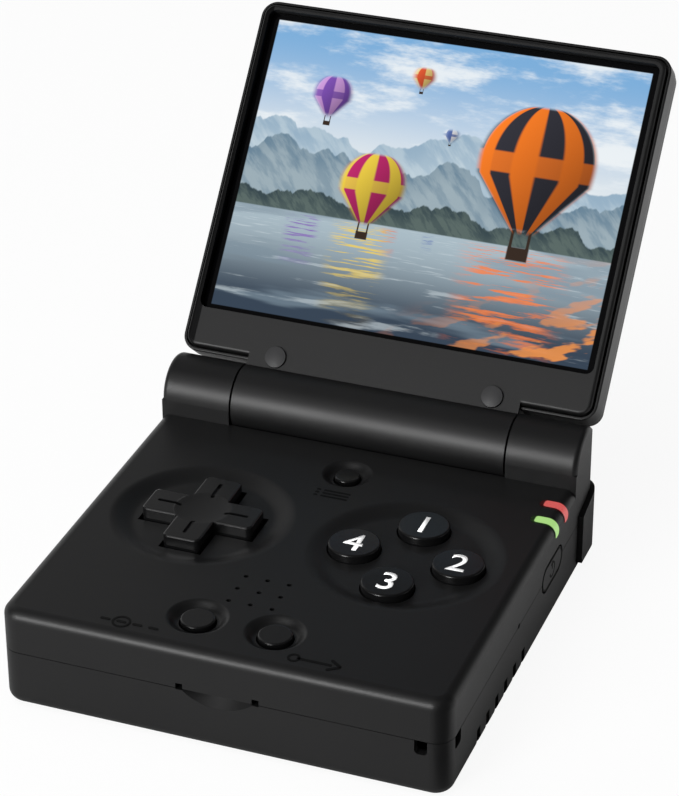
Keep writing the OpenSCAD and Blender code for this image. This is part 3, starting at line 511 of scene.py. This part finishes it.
@dataclass(frozen=True)
class LightGuide:
    """Lit light guide: pale along its middle and deep-coloured at its rim."""

    name: str
    middle_y: float
    core: Colour
    rim: Colour
    half_w: float = 1.25
    tip_x: float = 37.1
    tip_z: float = 16.7

    def make(self) -> bpy.types.Material:
        """Builds the material.

        Returns:
            The material.
        """
        shader = Surface(self.name)
        x, y, z = shader.spot()
        aside = y - self.middle_y
        tip = (self.half_w - (x - self.tip_x).low(z - self.tip_z)).high(0)
        off = (abs(aside) ** 4 + tip ** 4).sqrt().sqrt()
        cloud = shader.noise(shader.place(), 900, 2)
        edge = off.ramp(self.half_w * 0.74, self.half_w * 0.92)
        tone = shader.blend((edge + (cloud - 0.5) * 0.16).high(0).low(1), self.core, self.rim)
        unlit = shader.blend(edge, shade(self.core, 0.12), shade(self.rim, 0.3))
        shader.put(
            Base_Color=unlit, Roughness=0.24 + cloud * 0.08, Specular_IOR_Level=0.3,
            Emission_Color=tone, Emission_Strength=1.0)
        return shader.material


@dataclass(frozen=True)
class Speaker:
    """Sound driver: a pressed rim round a dark paper cone."""

    name: str
    middle: Pair
    cone_r: float = 5.4

    def make(self) -> bpy.types.Material:
        """Builds the material.

        Returns:
            The material.
        """
        shader = Surface(self.name)
        x, y, _ = shader.spot()
        aside = x - self.middle[0]
        ahead = y - self.middle[1]
        off = (aside * aside + ahead * ahead).sqrt()
        rim = off.ramp(self.cone_r - 0.1, self.cone_r + 0.1)
        rings = off.wrap(0.9).ramp(0.1, 0.4)
        paper = shader.noise(shader.place(), 2500, 3)
        cone = shader.blend(paper, (0.02, 0.02, 0.021), (0.05, 0.05, 0.052))
        shader.put(
            Base_Color=shader.blend(rim, cone, (0.45, 0.45, 0.46)),
            Metallic=rim, Roughness=0.85 - rim * 0.5)
        shader.bump(rings * 0.6 + paper * 0.4, 0.00006)
        return shader.material


@dataclass(frozen=True)
class Balloon:
    """One balloon of the screen's picture; the fields with defaults are in units of its radius."""

    x: float
    y: float
    r: float
    first: Colour
    second: Colour
    gores: float
    mouth: float = -1.2
    mouth_half: float = 0.2
    ropes_at: float = -1.33
    basket_at: float = -1.58
    wicker: Colour = (0.035, 0.02, 0.012)

    def paint(self, shader: Shader, across: Sock, up: Sock, under: Sock) -> Sock:
        """Paints it over a colour.

        Args:
            shader: The screen's shader.
            across: Place across the picture.
            up: Place up the picture.
            under: The colour so far.

        Returns:
            The colour with the balloon on it.
        """
        dx = (across - self.x) / self.r
        dy = (up - self.y) / self.r
        crown = (1 - dy * dy * dy.ramp(0.01, -0.01) / 1.82 - dy * dy * dy.ramp(-0.01, 0.01)).sqrt()
        half = crown.low((dy - self.mouth) * 0.85 + self.mouth_half)
        soft = 0.02 / self.r
        skin = (abs(dx) - half).ramp(soft, -soft)
        skin = skin * dy.ramp(self.mouth - soft, self.mouth + soft) * dy.ramp(1, 1 - soft)
        turn = (dx / half.high(0.02)).asin()
        stripes = (turn * self.gores).sin().ramp(-0.25, 0.25)
        band = abs(dy + 0.05).ramp(0.2, 0.16)
        colour = shader.blend(stripes, self.first, self.second)
        colour = shader.blend(band * 0.85, colour, self.first)
        light = 0.72 + dx * -0.3 + dy * 0.22
        colour = shader.dim(colour, light.high(0.15))
        ropes = abs(abs(dx) - 0.15).ramp(0.035, 0.015) * abs(dy - self.ropes_at).ramp(0.16, 0.14)
        basket = abs(dx).ramp(0.2, 0.17) * abs(dy - self.basket_at).ramp(0.13, 0.1)
        under = shader.blend((ropes + basket).low(1), under, self.wicker)
        return shader.blend(skin, under, colour)

    def mirror(self, across: Sock, up: Sock, shore: float, broken: Sock) -> Sock:
        """Paints its broken reflection in the water.

        Args:
            across: Place across the picture.
            up: Place up the picture.
            shore: Height of the shore line.
            broken: The water's ripple.

        Returns:
            The reflection's strength.
        """
        aside = abs(across - self.x).ramp(self.r * 1.1, self.r * 0.5)
        depth = up.ramp(shore - self.r * 3.4, shore - self.r * 0.6)
        return aside * depth * up.ramp(shore, shore - 0.03) * broken.ramp(0.5, 0.58)


@dataclass(frozen=True)
class Ridge:
    """One range of hills of the screen's picture."""

    base: float
    tall: float
    scale: float
    seed: float
    dark: Colour
    light: Colour

    def paint(self, shader: Shader, across: Sock, up: Sock, under: Sock) -> Sock:
        """Paints it over a colour.

        Args:
            shader: The screen's shader.
            across: Place across the picture.
            up: Place up the picture.
            under: The colour so far.

        Returns:
            The colour with the hills on it.
        """
        line = shader.noise(shader.point(across, self.seed), self.scale, 5, 0.5)
        top = line.ramp(0.25, 0.8) * self.tall * 1.6 + self.base
        where = shader.point(across * 1.6 + up * 1.4, up * 0.7, self.seed)
        slope = shader.noise(where, self.scale * 3, 4, 0.6)
        haze = (top - up).ramp(0.0, self.tall * 1.2)
        tone = shader.blend((slope.ramp(0.4, 0.6) * 0.6 + haze * 0.5).low(1), self.dark, self.light)
        return shader.blend((up - top).ramp(0.006, -0.006), under, tone)


@dataclass(frozen=True)
class LitGlass:
    """Cover glass with a black printed border round the lit picture of a lake with balloons."""

    name: str
    lit_x: float = 38.0
    lit_low: float = 16.8
    lit_top: float = 75.1
    shore: float = -0.22
    sky: tuple[Colour, Colour] = ((0.83, 0.86, 0.86), (0.20, 0.42, 0.70))
    cloud: Colour = (0.86, 0.90, 0.92)
    water: tuple[Colour, Colour] = ((0.40, 0.50, 0.56), (0.035, 0.055, 0.085))
    lane: Colour = (0.20, 0.27, 0.33)
    glint: Colour = (0.62, 0.70, 0.74)
    ember: Colour = (0.85, 0.30, 0.07)
    ridges: tuple[Ridge, ...] = (
        Ridge(0.10, 0.17, 1.9, 4.0, (0.30, 0.43, 0.55), (0.52, 0.63, 0.70)),
        Ridge(-0.04, 0.15, 2.7, 9.0, (0.14, 0.23, 0.31), (0.33, 0.42, 0.47)),
        Ridge(-0.17, 0.07, 5.5, 15.0, (0.035, 0.06, 0.07), (0.10, 0.14, 0.13)),
    )
    balloons: tuple[Balloon, ...] = (
        Balloon(-0.62, 0.42, 0.10, (0.21, 0.08, 0.45), (0.60, 0.32, 0.70), 5.0),
        Balloon(-0.16, 0.58, 0.055, (0.75, 0.10, 0.03), (0.85, 0.60, 0.20), 4.0),
        Balloon(0.52, 0.22, 0.30, (0.92, 0.20, 0.015), (0.03, 0.03, 0.04), 7.0),
        Balloon(-0.30, -0.02, 0.17, (0.86, 0.62, 0.06), (0.50, 0.02, 0.14), 6.0),
        Balloon(0.05, 0.30, 0.035, (0.10, 0.16, 0.42), (0.80, 0.80, 0.84), 3.0),
    )

    def make(self) -> bpy.types.Material:
        """Builds the material.

        Returns:
            The material.
        """
        shader = Surface(self.name)
        x, y, z = shader.spot()
        rise = up_the_lid(y, z)
        middle = (self.lit_low + self.lit_top) / 2
        tall = (self.lit_top - self.lit_low) / 2
        across = x / self.lit_x
        up = (rise - middle) / self.lit_x
        lit = abs(x).ramp(self.lit_x + 0.1, self.lit_x - 0.1)
        lit = lit * abs(rise - middle).ramp(tall + 0.1, tall - 0.1)
        smear = shader.noise(shader.place(), 45, 3)
        shader.put(
            Base_Color=shader.blend(lit, (0.001, 0.001, 0.0012), (0.002, 0.002, 0.0025)),
            Roughness=0.07 + smear.ramp(0.45, 0.75) * 0.05, Specular_IOR_Level=0.03,
            Emission_Color=shader.blend(lit, (0.0, 0.0, 0.0), self.picture(shader, across, up)),
            Emission_Strength=1.0)
        return shader.material

    def picture(self, shader: Shader, across: Sock, up: Sock) -> Sock:
        """The picture's colour at a place.

        Args:
            shader: The glass's shader.
            across: Place across the picture, -1 to 1.
            up: Place up the picture, in the same unit.

        Returns:
            The colour.
        """
        sky = shader.blend(up.ramp(-0.1, 0.75), *self.sky)
        puff = shader.noise(shader.point(across * 0.8, up * 2.6, 3.0), 2.1, 6, 0.62)
        colour = shader.blend(puff.ramp(0.46, 0.66) * up.ramp(-0.15, 0.2) * 0.9, sky, self.cloud)
        for ridge in self.ridges:
            colour = ridge.paint(shader, across, up, colour)
        colour = self.lake(shader, across, up, colour)
        for balloon in self.balloons:
            colour = balloon.paint(shader, across, up, colour)
        return colour

    def lake(self, shader: Shader, across: Sock, up: Sock, under: Sock) -> Sock:
        """Paints the lake, with wind lanes, glints and the warm reflections of the balloons.

        Args:
            shader: The glass's shader.
            across: Place across the picture.
            up: Place up the picture.
            under: The colour so far.

        Returns:
            The colour with the lake on it.
        """
        deep = (self.shore - up).high(0.004)
        far = 0.09 / (deep + 0.09)
        wave = shader.point(across * 3.2 * far, 1.6 / (deep + 0.12), 2.0)
        ripple = shader.noise(wave, 3.4, 5, 0.6)
        lane = shader.noise(shader.point(across * 0.6 + up * 0.8, up * 5.0, 6.0), 1.7, 3)
        water = shader.blend(deep.ramp(0.0, 0.5), *self.water)
        water = shader.blend(lane.ramp(0.48, 0.62) * 0.6, water, self.lane)
        water = shader.blend(ripple.ramp(0.56, 0.68) * 0.45, water, self.glint)
        for balloon in self.balloons:
            warm = balloon.mirror(across, up, self.shore, ripple)
            water = shader.blend(warm * 0.8, water, balloon.first)
        slant = shader.point(across * 2.2 + up * 3.0, up * 9.0 - across * 2.5, 8.0)
        glow = shader.noise(slant, 1.5, 3)
        corner = (across * 0.7 - up * 1.3).ramp(0.75, 1.6)
        water = shader.blend(glow.ramp(0.52, 0.6) * corner * 0.85, water, self.ember)
        return shader.blend(up.ramp(self.shore + 0.004, self.shore - 0.004), under, water)


# ---- shaping by hand ----


class Axis(Enum):
    """Direction that a flat mark faces."""

    UP = (0.0, 0.0, 0.0)
    RIGHT = (90.0, 0.0, 90.0)


def start_clean() -> None:
    """Leaves edit mode and deselects everything."""
    if bpy.context.object and bpy.context.object.mode != "OBJECT":
        bpy.ops.object.mode_set(mode="OBJECT")
    bpy.ops.object.select_all(action="DESELECT")


def thicken(height: float) -> None:
    """Extrudes the active flat mesh into a closed plate whose foot stays where it is.

    Args:
        height: Thickness in metres.
    """
    bpy.ops.object.mode_set(mode="EDIT")
    bpy.ops.mesh.select_all(action="SELECT")
    bpy.ops.mesh.remove_doubles(threshold=1e-6)
    bpy.ops.mesh.extrude_region_move(TRANSFORM_OT_translate={"value": (0, 0, height)})
    bpy.ops.mesh.select_all(action="SELECT")
    bpy.ops.mesh.normals_make_consistent(inside=False)
    bpy.ops.object.mode_set(mode="OBJECT")


def settle(obj: Piece, place: Sequence[float], facing: Axis = Axis.UP) -> None:
    """Turns and moves a finished mark to its place, and puts the place into its mesh.

    Args:
        obj: The mark, drawn at the origin.
        place: Where its middle goes, in millimetres.
        facing: The way it faces.
    """
    start_clean()
    obj.select_set(True)
    bpy.context.view_layer.objects.active = obj
    obj.rotation_euler = Euler([math.radians(a) for a in facing.value], "XYZ")
    obj.location = Vector(place) * MM
    bpy.ops.object.transform_apply(location=True, rotation=True, scale=True)


def join(parts: Sequence[Piece], name: str) -> Piece:
    """Joins meshes into one object.

    Args:
        parts: The meshes.
        name: Name of the joined object.

    Returns:
        The joined object.
    """
    start_clean()
    for part in parts:
        part.select_set(True)
    bpy.context.view_layer.objects.active = parts[0]
    if len(parts) > 1:
        bpy.ops.object.join()
    obj = bpy.context.view_layer.objects.active
    obj.name = name
    obj.data.name = name
    return obj


@dataclass(frozen=True)
class Strokes:
    """Maker of flat raised strokes, drawn at the origin in millimetres."""

    height: float = 0.05
    sink: float = 0.02
    font_share: float = 1.37
    boldness: float = 0.05

    def bar(self, x: float, y: float, length: float, width: float, turn: float = 0.0) -> Piece:
        """Makes a bar with round ends.

        Args:
            x: Middle across.
            y: Middle up.
            length: Whole length.
            width: Width.
            turn: Turn in degrees.

        Returns:
            The bar.
        """
        start_clean()
        bpy.ops.mesh.primitive_circle_add(vertices=24, radius=width / 2 * MM, fill_type="NGON")
        obj = bpy.context.object
        bpy.ops.object.mode_set(mode="EDIT")
        bpy.ops.mesh.select_all(action="DESELECT")
        bpy.ops.object.mode_set(mode="OBJECT")
        for vertex in obj.data.vertices:
            vertex.select = vertex.co.x > 1e-7
        bpy.ops.object.mode_set(mode="EDIT")
        bpy.ops.transform.translate(value=((length - width) * MM, 0, 0))
        bpy.ops.mesh.select_all(action="SELECT")
        bpy.ops.transform.translate(value=(-(length - width) / 2 * MM, 0, -self.sink * MM))
        bpy.ops.object.mode_set(mode="OBJECT")
        return self.finish(obj, x, y, turn)

    def ring(self, x: float, y: float, radius: float, width: float, sweep: float = 360.0,
             start: float = 0.0) -> Piece:
        """Makes a flat ring, or a part of one, by spinning a short edge.

        Args:
            x: Middle across.
            y: Middle up.
            radius: Radius of the stroke's middle.
            width: Width of the stroke.
            sweep: Angle that it covers.
            start: Angle of its first end.

        Returns:
            The ring.
        """
        start_clean()
        bpy.ops.mesh.primitive_plane_add(size=width * MM)
        obj = bpy.context.object
        bpy.ops.object.mode_set(mode="EDIT")
        bpy.ops.mesh.select_all(action="SELECT")
        bpy.ops.mesh.merge(type="CENTER")
        bpy.ops.mesh.extrude_region_move(TRANSFORM_OT_translate={"value": (width * MM, 0, 0)})
        bpy.ops.mesh.select_all(action="SELECT")
        bpy.ops.transform.translate(value=((radius - width / 2) * MM, 0, -self.sink * MM))
        steps = max(8, int(sweep / 7.5))
        bpy.ops.mesh.spin(steps=steps, angle=math.radians(sweep), center=(0, 0, 0), axis=(0, 0, 1))
        bpy.ops.mesh.select_all(action="SELECT")
        bpy.ops.mesh.remove_doubles(threshold=1e-7)
        bpy.ops.object.mode_set(mode="OBJECT")
        return self.finish(obj, x, y, start)

    def finish(self, obj: Piece, x: float, y: float, turn: float) -> Piece:
        """Thickens a flat stroke and puts it in its place in the drawing.

        Args:
            obj: The stroke, flat and at the origin.
            x: Place across.
            y: Place up.
            turn: Turn in degrees.

        Returns:
            The stroke.
        """
        thicken((self.height + self.sink) * MM)
        obj.rotation_euler = Euler((0, 0, math.radians(turn)), "XYZ")
        obj.location = (x * MM, y * MM, 0)
        bpy.ops.object.transform_apply(location=True, rotation=True, scale=True)
        return obj

    def numeral(self, sign: str, size: float) -> Piece:
        """Makes one plain numeral, centred.

        Args:
            sign: The numeral.
            size: Its height.

        Returns:
            The numeral as a mesh.
        """
        start_clean()
        bpy.ops.object.text_add()
        text = bpy.context.object
        text.data.body = sign
        text.data.size = size * self.font_share * MM
        text.data.offset = self.boldness * MM
        text.data.resolution_u = 6
        bpy.ops.object.convert(target="MESH")
        obj = bpy.context.object
        across = [vertex.co.x for vertex in obj.data.vertices]
        upward = [vertex.co.y for vertex in obj.data.vertices]
        bpy.ops.object.mode_set(mode="EDIT")
        bpy.ops.mesh.select_all(action="SELECT")
        bpy.ops.transform.translate(value=(
            -(min(across) + max(across)) / 2, -(min(upward) + max(upward)) / 2, -self.sink * MM))
        bpy.ops.object.mode_set(mode="OBJECT")
        return self.finish(obj, 0, 0, 0)


def dress(nodes: Iterable[str], material: bpy.types.Material) -> None:
    """Gives CAD nodes one material.

    Args:
        nodes: The nodes' names.
        material: The material.
    """
    for name in nodes:
        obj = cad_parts[name]
        obj.data.materials.clear()
        obj.data.materials.append(material)
        LOG.info("dressed %s in %s", name, material.name)


def fit_mark(obj: Piece, body: str, material: bpy.types.Material) -> None:
    """Gives a new mark its material, slot and body.

    Args:
        obj: The mark.
        body: The body that it rides on.
        material: The material.
    """
    obj.data.materials.clear()
    obj.data.materials.append(material)
    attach(obj, body)
    LOG.info("added %s on %s", obj.name, body)


# ---- sub-assemblies ----

# Darkest and lightest tone of the case's plastic and of the keys'.
CASE_TONES = ((0.0034, 0.0034, 0.0035), (0.0056, 0.0056, 0.0058))
KEY_TONES = ((0.003, 0.003, 0.0031), (0.005, 0.005, 0.0052))


@dataclass
class Case:
    """The base's two shells, battery cover, light guides, and the signs moulded on the top face."""

    top_z: float = 19.7
    select_sign: Pair = (-18.1, -38.6)
    start_sign: Pair = (16.6, -38.4)
    menu_sign: Pair = (-0.2, 13.0)
    thin: float = 0.42
    thick: float = 0.6
    shell: Moulded = Moulded("shell_plastic", *CASE_TONES)
    # The signs are real raised strokes; their darker, duller tone than the case is painted shade,
    # as inside engraved signs.
    sign: Moulded = Moulded("sign_plastic", (0.001, 0.001, 0.001), (0.0018, 0.0018, 0.0018), 0.5,
                            gloss=0.12)
    red: LightGuide = LightGuide("lamp_red", 23.6, (0.55, 0.09, 0.085), (0.02, 0.0015, 0.002))
    green: LightGuide = LightGuide("lamp_green", 17.9, (0.34, 0.6, 0.19), (0.002, 0.012, 0.001))
    strokes: Strokes = field(default_factory=lambda: Strokes(0.07))

    def build(self) -> None:
        """Dresses the shells and adds the signs."""
        dress(("base_top_shell", "base_bottom_shell", "battery_cover"), self.shell.make())
        dress(("led_red_guide",), self.red.make())
        dress(("led_green_guide",), self.green.make())
        plastic = self.sign.make()
        for name, place, parts in (
                ("select_mark", self.select_sign, self.choice()),
                ("start_mark", self.start_sign, self.go()),
                ("menu_mark", self.menu_sign, self.rows())):
            mark = join(parts, name)
            settle(mark, (*place, self.top_z))
            fit_mark(mark, "base", plastic)

    def choice(self) -> list[Piece]:
        """Draws four short bars, one of them ringed: pick one of a row.

        Returns:
            The strokes.
        """
        bars = [self.strokes.bar(x, 0, 1.9, self.thick) for x in (-4.5, -1.5, 1.5, 4.5)]
        return [*bars, self.strokes.ring(-1.5, 0, 1.5, self.thin)]

    def go(self) -> list[Piece]:
        """Draws a dot, a line and an arrowhead: begin.

        Returns:
            The strokes.
        """
        return [
            self.strokes.bar(-0.7, 0, 6.4, self.thick),
            self.strokes.bar(3.0, 0.75, 2.7, self.thick, -35),
            self.strokes.bar(3.0, -0.75, 2.7, self.thick, 35),
            self.strokes.ring(-4.4, 0, 0.95, self.thin)]

    def rows(self) -> list[Piece]:
        """Draws three rows of a list.

        Returns:
            The strokes.
        """
        lines = [self.strokes.bar(0.6, y, 5.2, self.thin) for y in (-1.0, 0, 1.0)]
        return lines + [self.strokes.bar(-3.0, y, 0.8, self.thin) for y in (-1.0, 0, 1.0)]


@dataclass
class Controls:
    """Keys, their printed numerals, the power sign, and the rubber under them."""

    action_middle: Pair = (19.3, -1.5)
    action_pitch: float = 19.7
    action_top: float = 20.2
    numeral_h: float = 5.5
    power_middle: Triple = (41.5, 15.8, 11.1)
    power_w: float = 0.42
    outline_x: float = 3.5
    outline_r: float = 2.2
    outline_w: float = 0.36
    keys: Moulded = Moulded("key_plastic", *KEY_TONES, 0.22, depth=0.000004, gloss=0.25)
    small: Moulded = Moulded("small_key_plastic", *KEY_TONES, 0.2, depth=0.000004, gloss=0.42)
    cross: Swollen = Swollen("cross_plastic", *KEY_TONES, 0.2, depth=0.000004, gloss=0.42,
                             middle=(-19.9, -1.5), radius=5.35, swell=0.00068)
    side: Moulded = Moulded("side_key_plastic", (0.0045, 0.0045, 0.0046), (0.007, 0.007, 0.0072))
    ink: Moulded = Moulded("white_print", (0.93, 0.93, 0.93), (0.97, 0.97, 0.97), 0.5,
                           depth=0.000004)
    # The power sign's strokes are real; their darker, duller tone is painted shade, as inside an
    # engraved sign.
    painted_shade_sign: Moulded = Moulded("sign_painted_shade", (0.001, 0.001, 0.001), (0.002, 0.002, 0.002), 0.6, gloss=0.1)
    silicone: Moulded = Moulded("silicone", (0.36, 0.38, 0.41), (0.45, 0.47, 0.50), 0.5, 3000.0)

    def build(self) -> None:
        """Dresses the keys and adds their signs."""
        buttons = [f"action_button_{i}" for i in range(1, 5)]
        dress(buttons, self.keys.make())
        dress(("select_button", "start_button", "menu_button"), self.small.make())
        dress(("dpad_cap",), self.cross.make())
        dress(("power_button", "volume_rocker", "shoulder_outer_right", "shoulder_inner_right",
               "shoulder_outer_left", "shoulder_inner_left"), self.side.make())
        dress(("dpad_membrane", "action_membrane", "front_membrane", "menu_membrane"),
              self.silicone.make())
        self.numerals()
        self.power_sign()

    def numerals(self) -> None:
        """Prints 1 to 4 on the action buttons, clockwise from the rear."""
        print_on = Strokes(0.03)
        ink = self.ink.make()
        for i in range(4):
            reach = self.action_pitch / 2
            x = self.action_middle[0] + reach * math.sin(math.pi / 2 * i)
            y = self.action_middle[1] + reach * math.cos(math.pi / 2 * i)
            mark = join([print_on.numeral(str(i + 1), self.numeral_h)], f"numeral_{i + 1}")
            settle(mark, (x, y, self.action_top))
            fit_mark(mark, f"action_{i + 1}", ink)

    def power_sign(self) -> None:
        """Puts the usual broken ring and bar on the power button, with an outline round them."""
        strokes = Strokes(0.03)
        x, r, w = self.outline_x, self.outline_r, self.outline_w
        parts = [strokes.ring(0, 0, 1.4, self.power_w, 290, 125),
                 strokes.bar(0, 0.95, 1.8, self.power_w, 90)]
        for side in (1, -1):
            parts.append(strokes.ring(x * side, 0, r, w, 180, 90 * side))
            parts.append(strokes.bar(0, r * side, 2 * x + 0.3, w))
        mark = join(parts, "power_sign")
        settle(mark, self.power_middle, Axis.RIGHT)
        fit_mark(mark, "power", self.painted_shade_sign.make())


@dataclass
class Lid:
    """The lid's shells, screen, pads and what lies behind the screen."""

    back: Moulded = Moulded("lid_back_plastic", *CASE_TONES)
    bezel: Bezel = Bezel("bezel_plastic", (0.0042, 0.0042, 0.0043), (0.0064, 0.0064, 0.0066))
    pads: Swollen = Swollen("rest_pads", (0.014, 0.014, 0.0145), (0.022, 0.022, 0.023), 0.5, 5000.0,
                            middle=(21.8, 8.24), radius=2.05, on_lid=True)
    glass: LitGlass = LitGlass("screen_glass_lit")
    panel: Wrap = Wrap("panel_backing", (0.16, 0.18, 0.2), 40.0, 0.25, 0.00005)
    foam: Foam = Foam("panel_foam_grey", (0.06, 0.06, 0.062))
    flex: Wrap = Wrap("cable_film", (0.42, 0.17, 0.035), 150.0, 0.3, 0.00004)

    def build(self) -> None:
        """Dresses the lid."""
        dress(("lid_back_shell",), self.back.make())
        dress(("lid_bezel",), self.bezel.make())
        dress(("lid_pads",), self.pads.make())
        dress(("screen_glass",), self.glass.make())
        dress(("display_panel",), self.panel.make())
        dress(("panel_foam",), self.foam.make())
        dress(("display_cable",), self.flex.make())


@dataclass
class Inside:
    """Hinge metal, fasteners, boards, sockets, battery and sound driver."""

    turned: Metal = Metal("turned_steel", (0.56, 0.57, 0.58), 0.28)
    black: Metal = Metal("black_steel", (0.13, 0.13, 0.135), 0.42, (1.0, 1.0, 1.0))
    plate: Metal = Metal("stamped_plate", (0.62, 0.62, 0.64), 0.33, (20.0, 1.0, 20.0))
    magnet: Metal = Metal("nickel_magnet", (0.66, 0.64, 0.60), 0.22, (1.0, 1.0, 1.0))
    board: Board = Board("main_board", (0.008, 0.06, 0.025), (0.018, 0.12, 0.05))
    jack: Moulded = Moulded("jack_plastic", (0.010, 0.010, 0.0105), (0.016, 0.016, 0.017), 0.3)
    cell: Wrap = Wrap("cell_wrap", (0.035, 0.085, 0.17))
    driver: Speaker = Speaker("driver_cone", (-0.7, -22.0))

    def build(self) -> None:
        """Dresses everything inside."""
        dress(("hinge_cartridge", "hinge_sleeve", "shoulder_pins", "hinge_shaft", "dpad_ball"),
              self.turned.make())
        dress(("case_screws", "cover_screw", "lid_screws"), self.black.make())
        dress(("usb_socket", "card_socket", "shoulder_switches", "side_switches"),
              self.plate.make())
        dress(("lid_magnet",), self.magnet.make())
        dress(("mainboard", "shoulder_boards"), self.board.make())
        dress(("audio_socket",), self.jack.make())
        dress(("battery_pack",), self.cell.make())
        dress(("sound_driver",), self.driver.make())


@dataclass(frozen=True)
class Softbox:
    """One square lamp aimed at the object."""

    name: str
    place: Triple
    size: float
    power: float
    aim: Triple = (0.0, 0.0, 0.03)
    mirrored: bool = True

    def build(self) -> None:
        """Adds the lamp."""
        data = bpy.data.lights.new(self.name, "AREA")
        data.size = self.size
        data.energy = self.power
        obj = bpy.data.objects.new(self.name, data)
        obj.visible_glossy = self.mirrored
        bpy.context.scene.collection.objects.link(obj)
        obj.location = self.place
        towards = Vector(self.aim) - Vector(self.place)
        obj.rotation_euler = towards.to_track_quat("-Z", "Y").to_euler()


@dataclass
class Stage:
    """Floor, lamps, world and camera. A pair of numbers is where a soft edge starts and ends."""

    floor_half: float = 3.0
    shade: float = 0.08
    paper: tuple[Colour, Colour] = ((0.62, 0.62, 0.62), (0.66, 0.66, 0.66))
    # Painted shade that only reflections see on the floor: its tone, a patch off the front right
    # corner, and a band up to just right of the object.
    painted_shade_tone: Colour = (0.02, 0.02, 0.02)
    white_from: Pair = (0.07, 0.16)
    flank_corner: Pair = (0.0415, -0.040)
    flank_slopes: Pair = (0.2, 0.14)
    flank_front: Pair = (-0.001, 0.006)
    flank_side: Pair = (-0.002, 0.006)
    painted_contact_shade: Pair = (0.018, 0.008)
    painted_contact_shade_share: float = 0.3
    flank_turn: float = -50.0
    flank_wall: Pair = (0.55, 0.8)
    ceiling: float = 0.04
    ceiling_left: float = 0.7
    ceiling_edges: tuple[Pair, Pair] = ((-0.2, -0.6), (0.0, 0.3))
    wall_top: Pair = (0.3, 0.04)
    camera_place: Triple = (0.16885, -0.43259, 0.31377)
    camera_turn: Triple = (60.1431, 0.1257, 20.5409)
    lens: float = 137.49
    sensor: float = 36.0
    lamps: tuple[Softbox, ...] = (
        Softbox("front", (-0.32, -0.90, 0.30), 0.36, 9.5),
        Softbox("front_high", (-0.30, -0.68, 0.72), 0.8, 2.0),
        Softbox("overhead", (-0.2, -0.25, 1.2), 1.2, 16.0, mirrored=False),
    )

    def build(self) -> None:
        """Builds all of the stage."""
        self.floor()
        self.world()
        for lamp in self.lamps:
            lamp.build()
        self.camera()
        bpy.context.scene.view_settings.view_transform = "Standard"

    def floor(self) -> None:
        """White floor that keeps a light shadow; reflections see painted shade on it, a dark patch
        off the front right corner and a dimmer band up to just right of the object.
        """
        start_clean()
        bpy.ops.mesh.primitive_plane_add(size=2 * self.floor_half, location=(0, 0, -0.0002))
        obj = bpy.context.object
        obj.name = "floor"
        shader = Surface("floor_paper")
        x, y, _ = shader.axes(shader.place())
        mirrored = shader.mirrored()
        away = (x * x + y * y).sqrt().ramp(*self.white_from)
        # Painted shade for reflections: a dark patch off the front right corner standing in for a
        # black card, and a dimmer contact shade up to just right of the object.
        aside = x - self.flank_corner[0]
        ahead = y - self.flank_corner[1]
        flank = mirrored * (aside * self.flank_slopes[0] - ahead).ramp(*self.flank_front)
        flank = flank * (aside - ahead * self.flank_slopes[1]).ramp(*self.flank_side)
        painted_contact_shade = mirrored * aside.ramp(*self.painted_contact_shade) * self.painted_contact_shade_share
        paper = shader.blend(shader.noise(shader.place(), 300, 3), *self.paper)
        shader.put(Base_Color=shader.blend((flank + painted_contact_shade).low(1), paper, self.painted_shade_tone),
                   Roughness=0.9, Specular_IOR_Level=0.1)
        white = shader.ray("Is Camera Ray") * (1 - self.shade) + mirrored * away * (1 - flank)
        glow = shader.node("ShaderNodeEmission", {}, {"Color": (1, 1, 1, 1), "Strength": 1.0})
        mixed = shader.node("ShaderNodeMixShader", {}, {0: white.low(1)})
        shader.tree.links.new(shader.surface.outputs[0], mixed.link.node.inputs[1])
        shader.tree.links.new(glow.link, mixed.link.node.inputs[2])
        shader.tree.links.new(mixed.link, shader.output.inputs["Surface"])
        obj.data.materials.append(shader.material)

    def world(self) -> None:
        """White room; mirrored, it has a dim ceiling and a black wall at the front right."""
        world = bpy.data.worlds.new("surround")
        bpy.context.scene.world = world
        world.use_nodes = True
        shader = Shader(world.node_tree)
        x, y, z = shader.axes(shader.node("ShaderNodeTexCoord", {}, {}, "Generated"))
        turn = math.radians(self.flank_turn)
        flank = shader.mirrored() * (x * math.cos(turn) + y * math.sin(turn)).ramp(*self.flank_wall)
        left, rear = self.ceiling_edges
        roof = x.ramp(*left) * y.ramp(*rear) * (self.ceiling_left - self.ceiling) + self.ceiling
        wall = z.ramp(*self.wall_top)
        room = (wall + (1 - wall) * roof) * (1 - flank)
        strength = (room + shader.ray("Is Camera Ray")).low(1)
        glow = shader.node(
            "ShaderNodeBackground", {}, {"Color": (1, 1, 1, 1), "Strength": strength})
        out = shader.tree.nodes.new("ShaderNodeOutputWorld")
        shader.tree.links.new(glow.link, out.inputs[0])

    def camera(self) -> None:
        """Camera that looks down on the front and right sides."""
        data = bpy.data.cameras.new("camera")
        data.lens = self.lens
        data.sensor_width = self.sensor
        data.clip_start = 0.01
        data.clip_end = 20
        obj = bpy.data.objects.new("camera", data)
        bpy.context.scene.collection.objects.link(obj)
        obj.location = self.camera_place
        obj.rotation_euler = Euler([math.radians(a) for a in self.camera_turn], "XYZ")
        bpy.context.scene.camera = obj


def main() -> None:
    """Builds the scene part by part."""
    logging.basicConfig(level=logging.INFO)
    for part in (Case(), Controls(), Lid(), Inside(), Stage()):
        LOG.info("building %s", type(part).__name__)
        part.build()


if __name__ == "__main__":
    main()
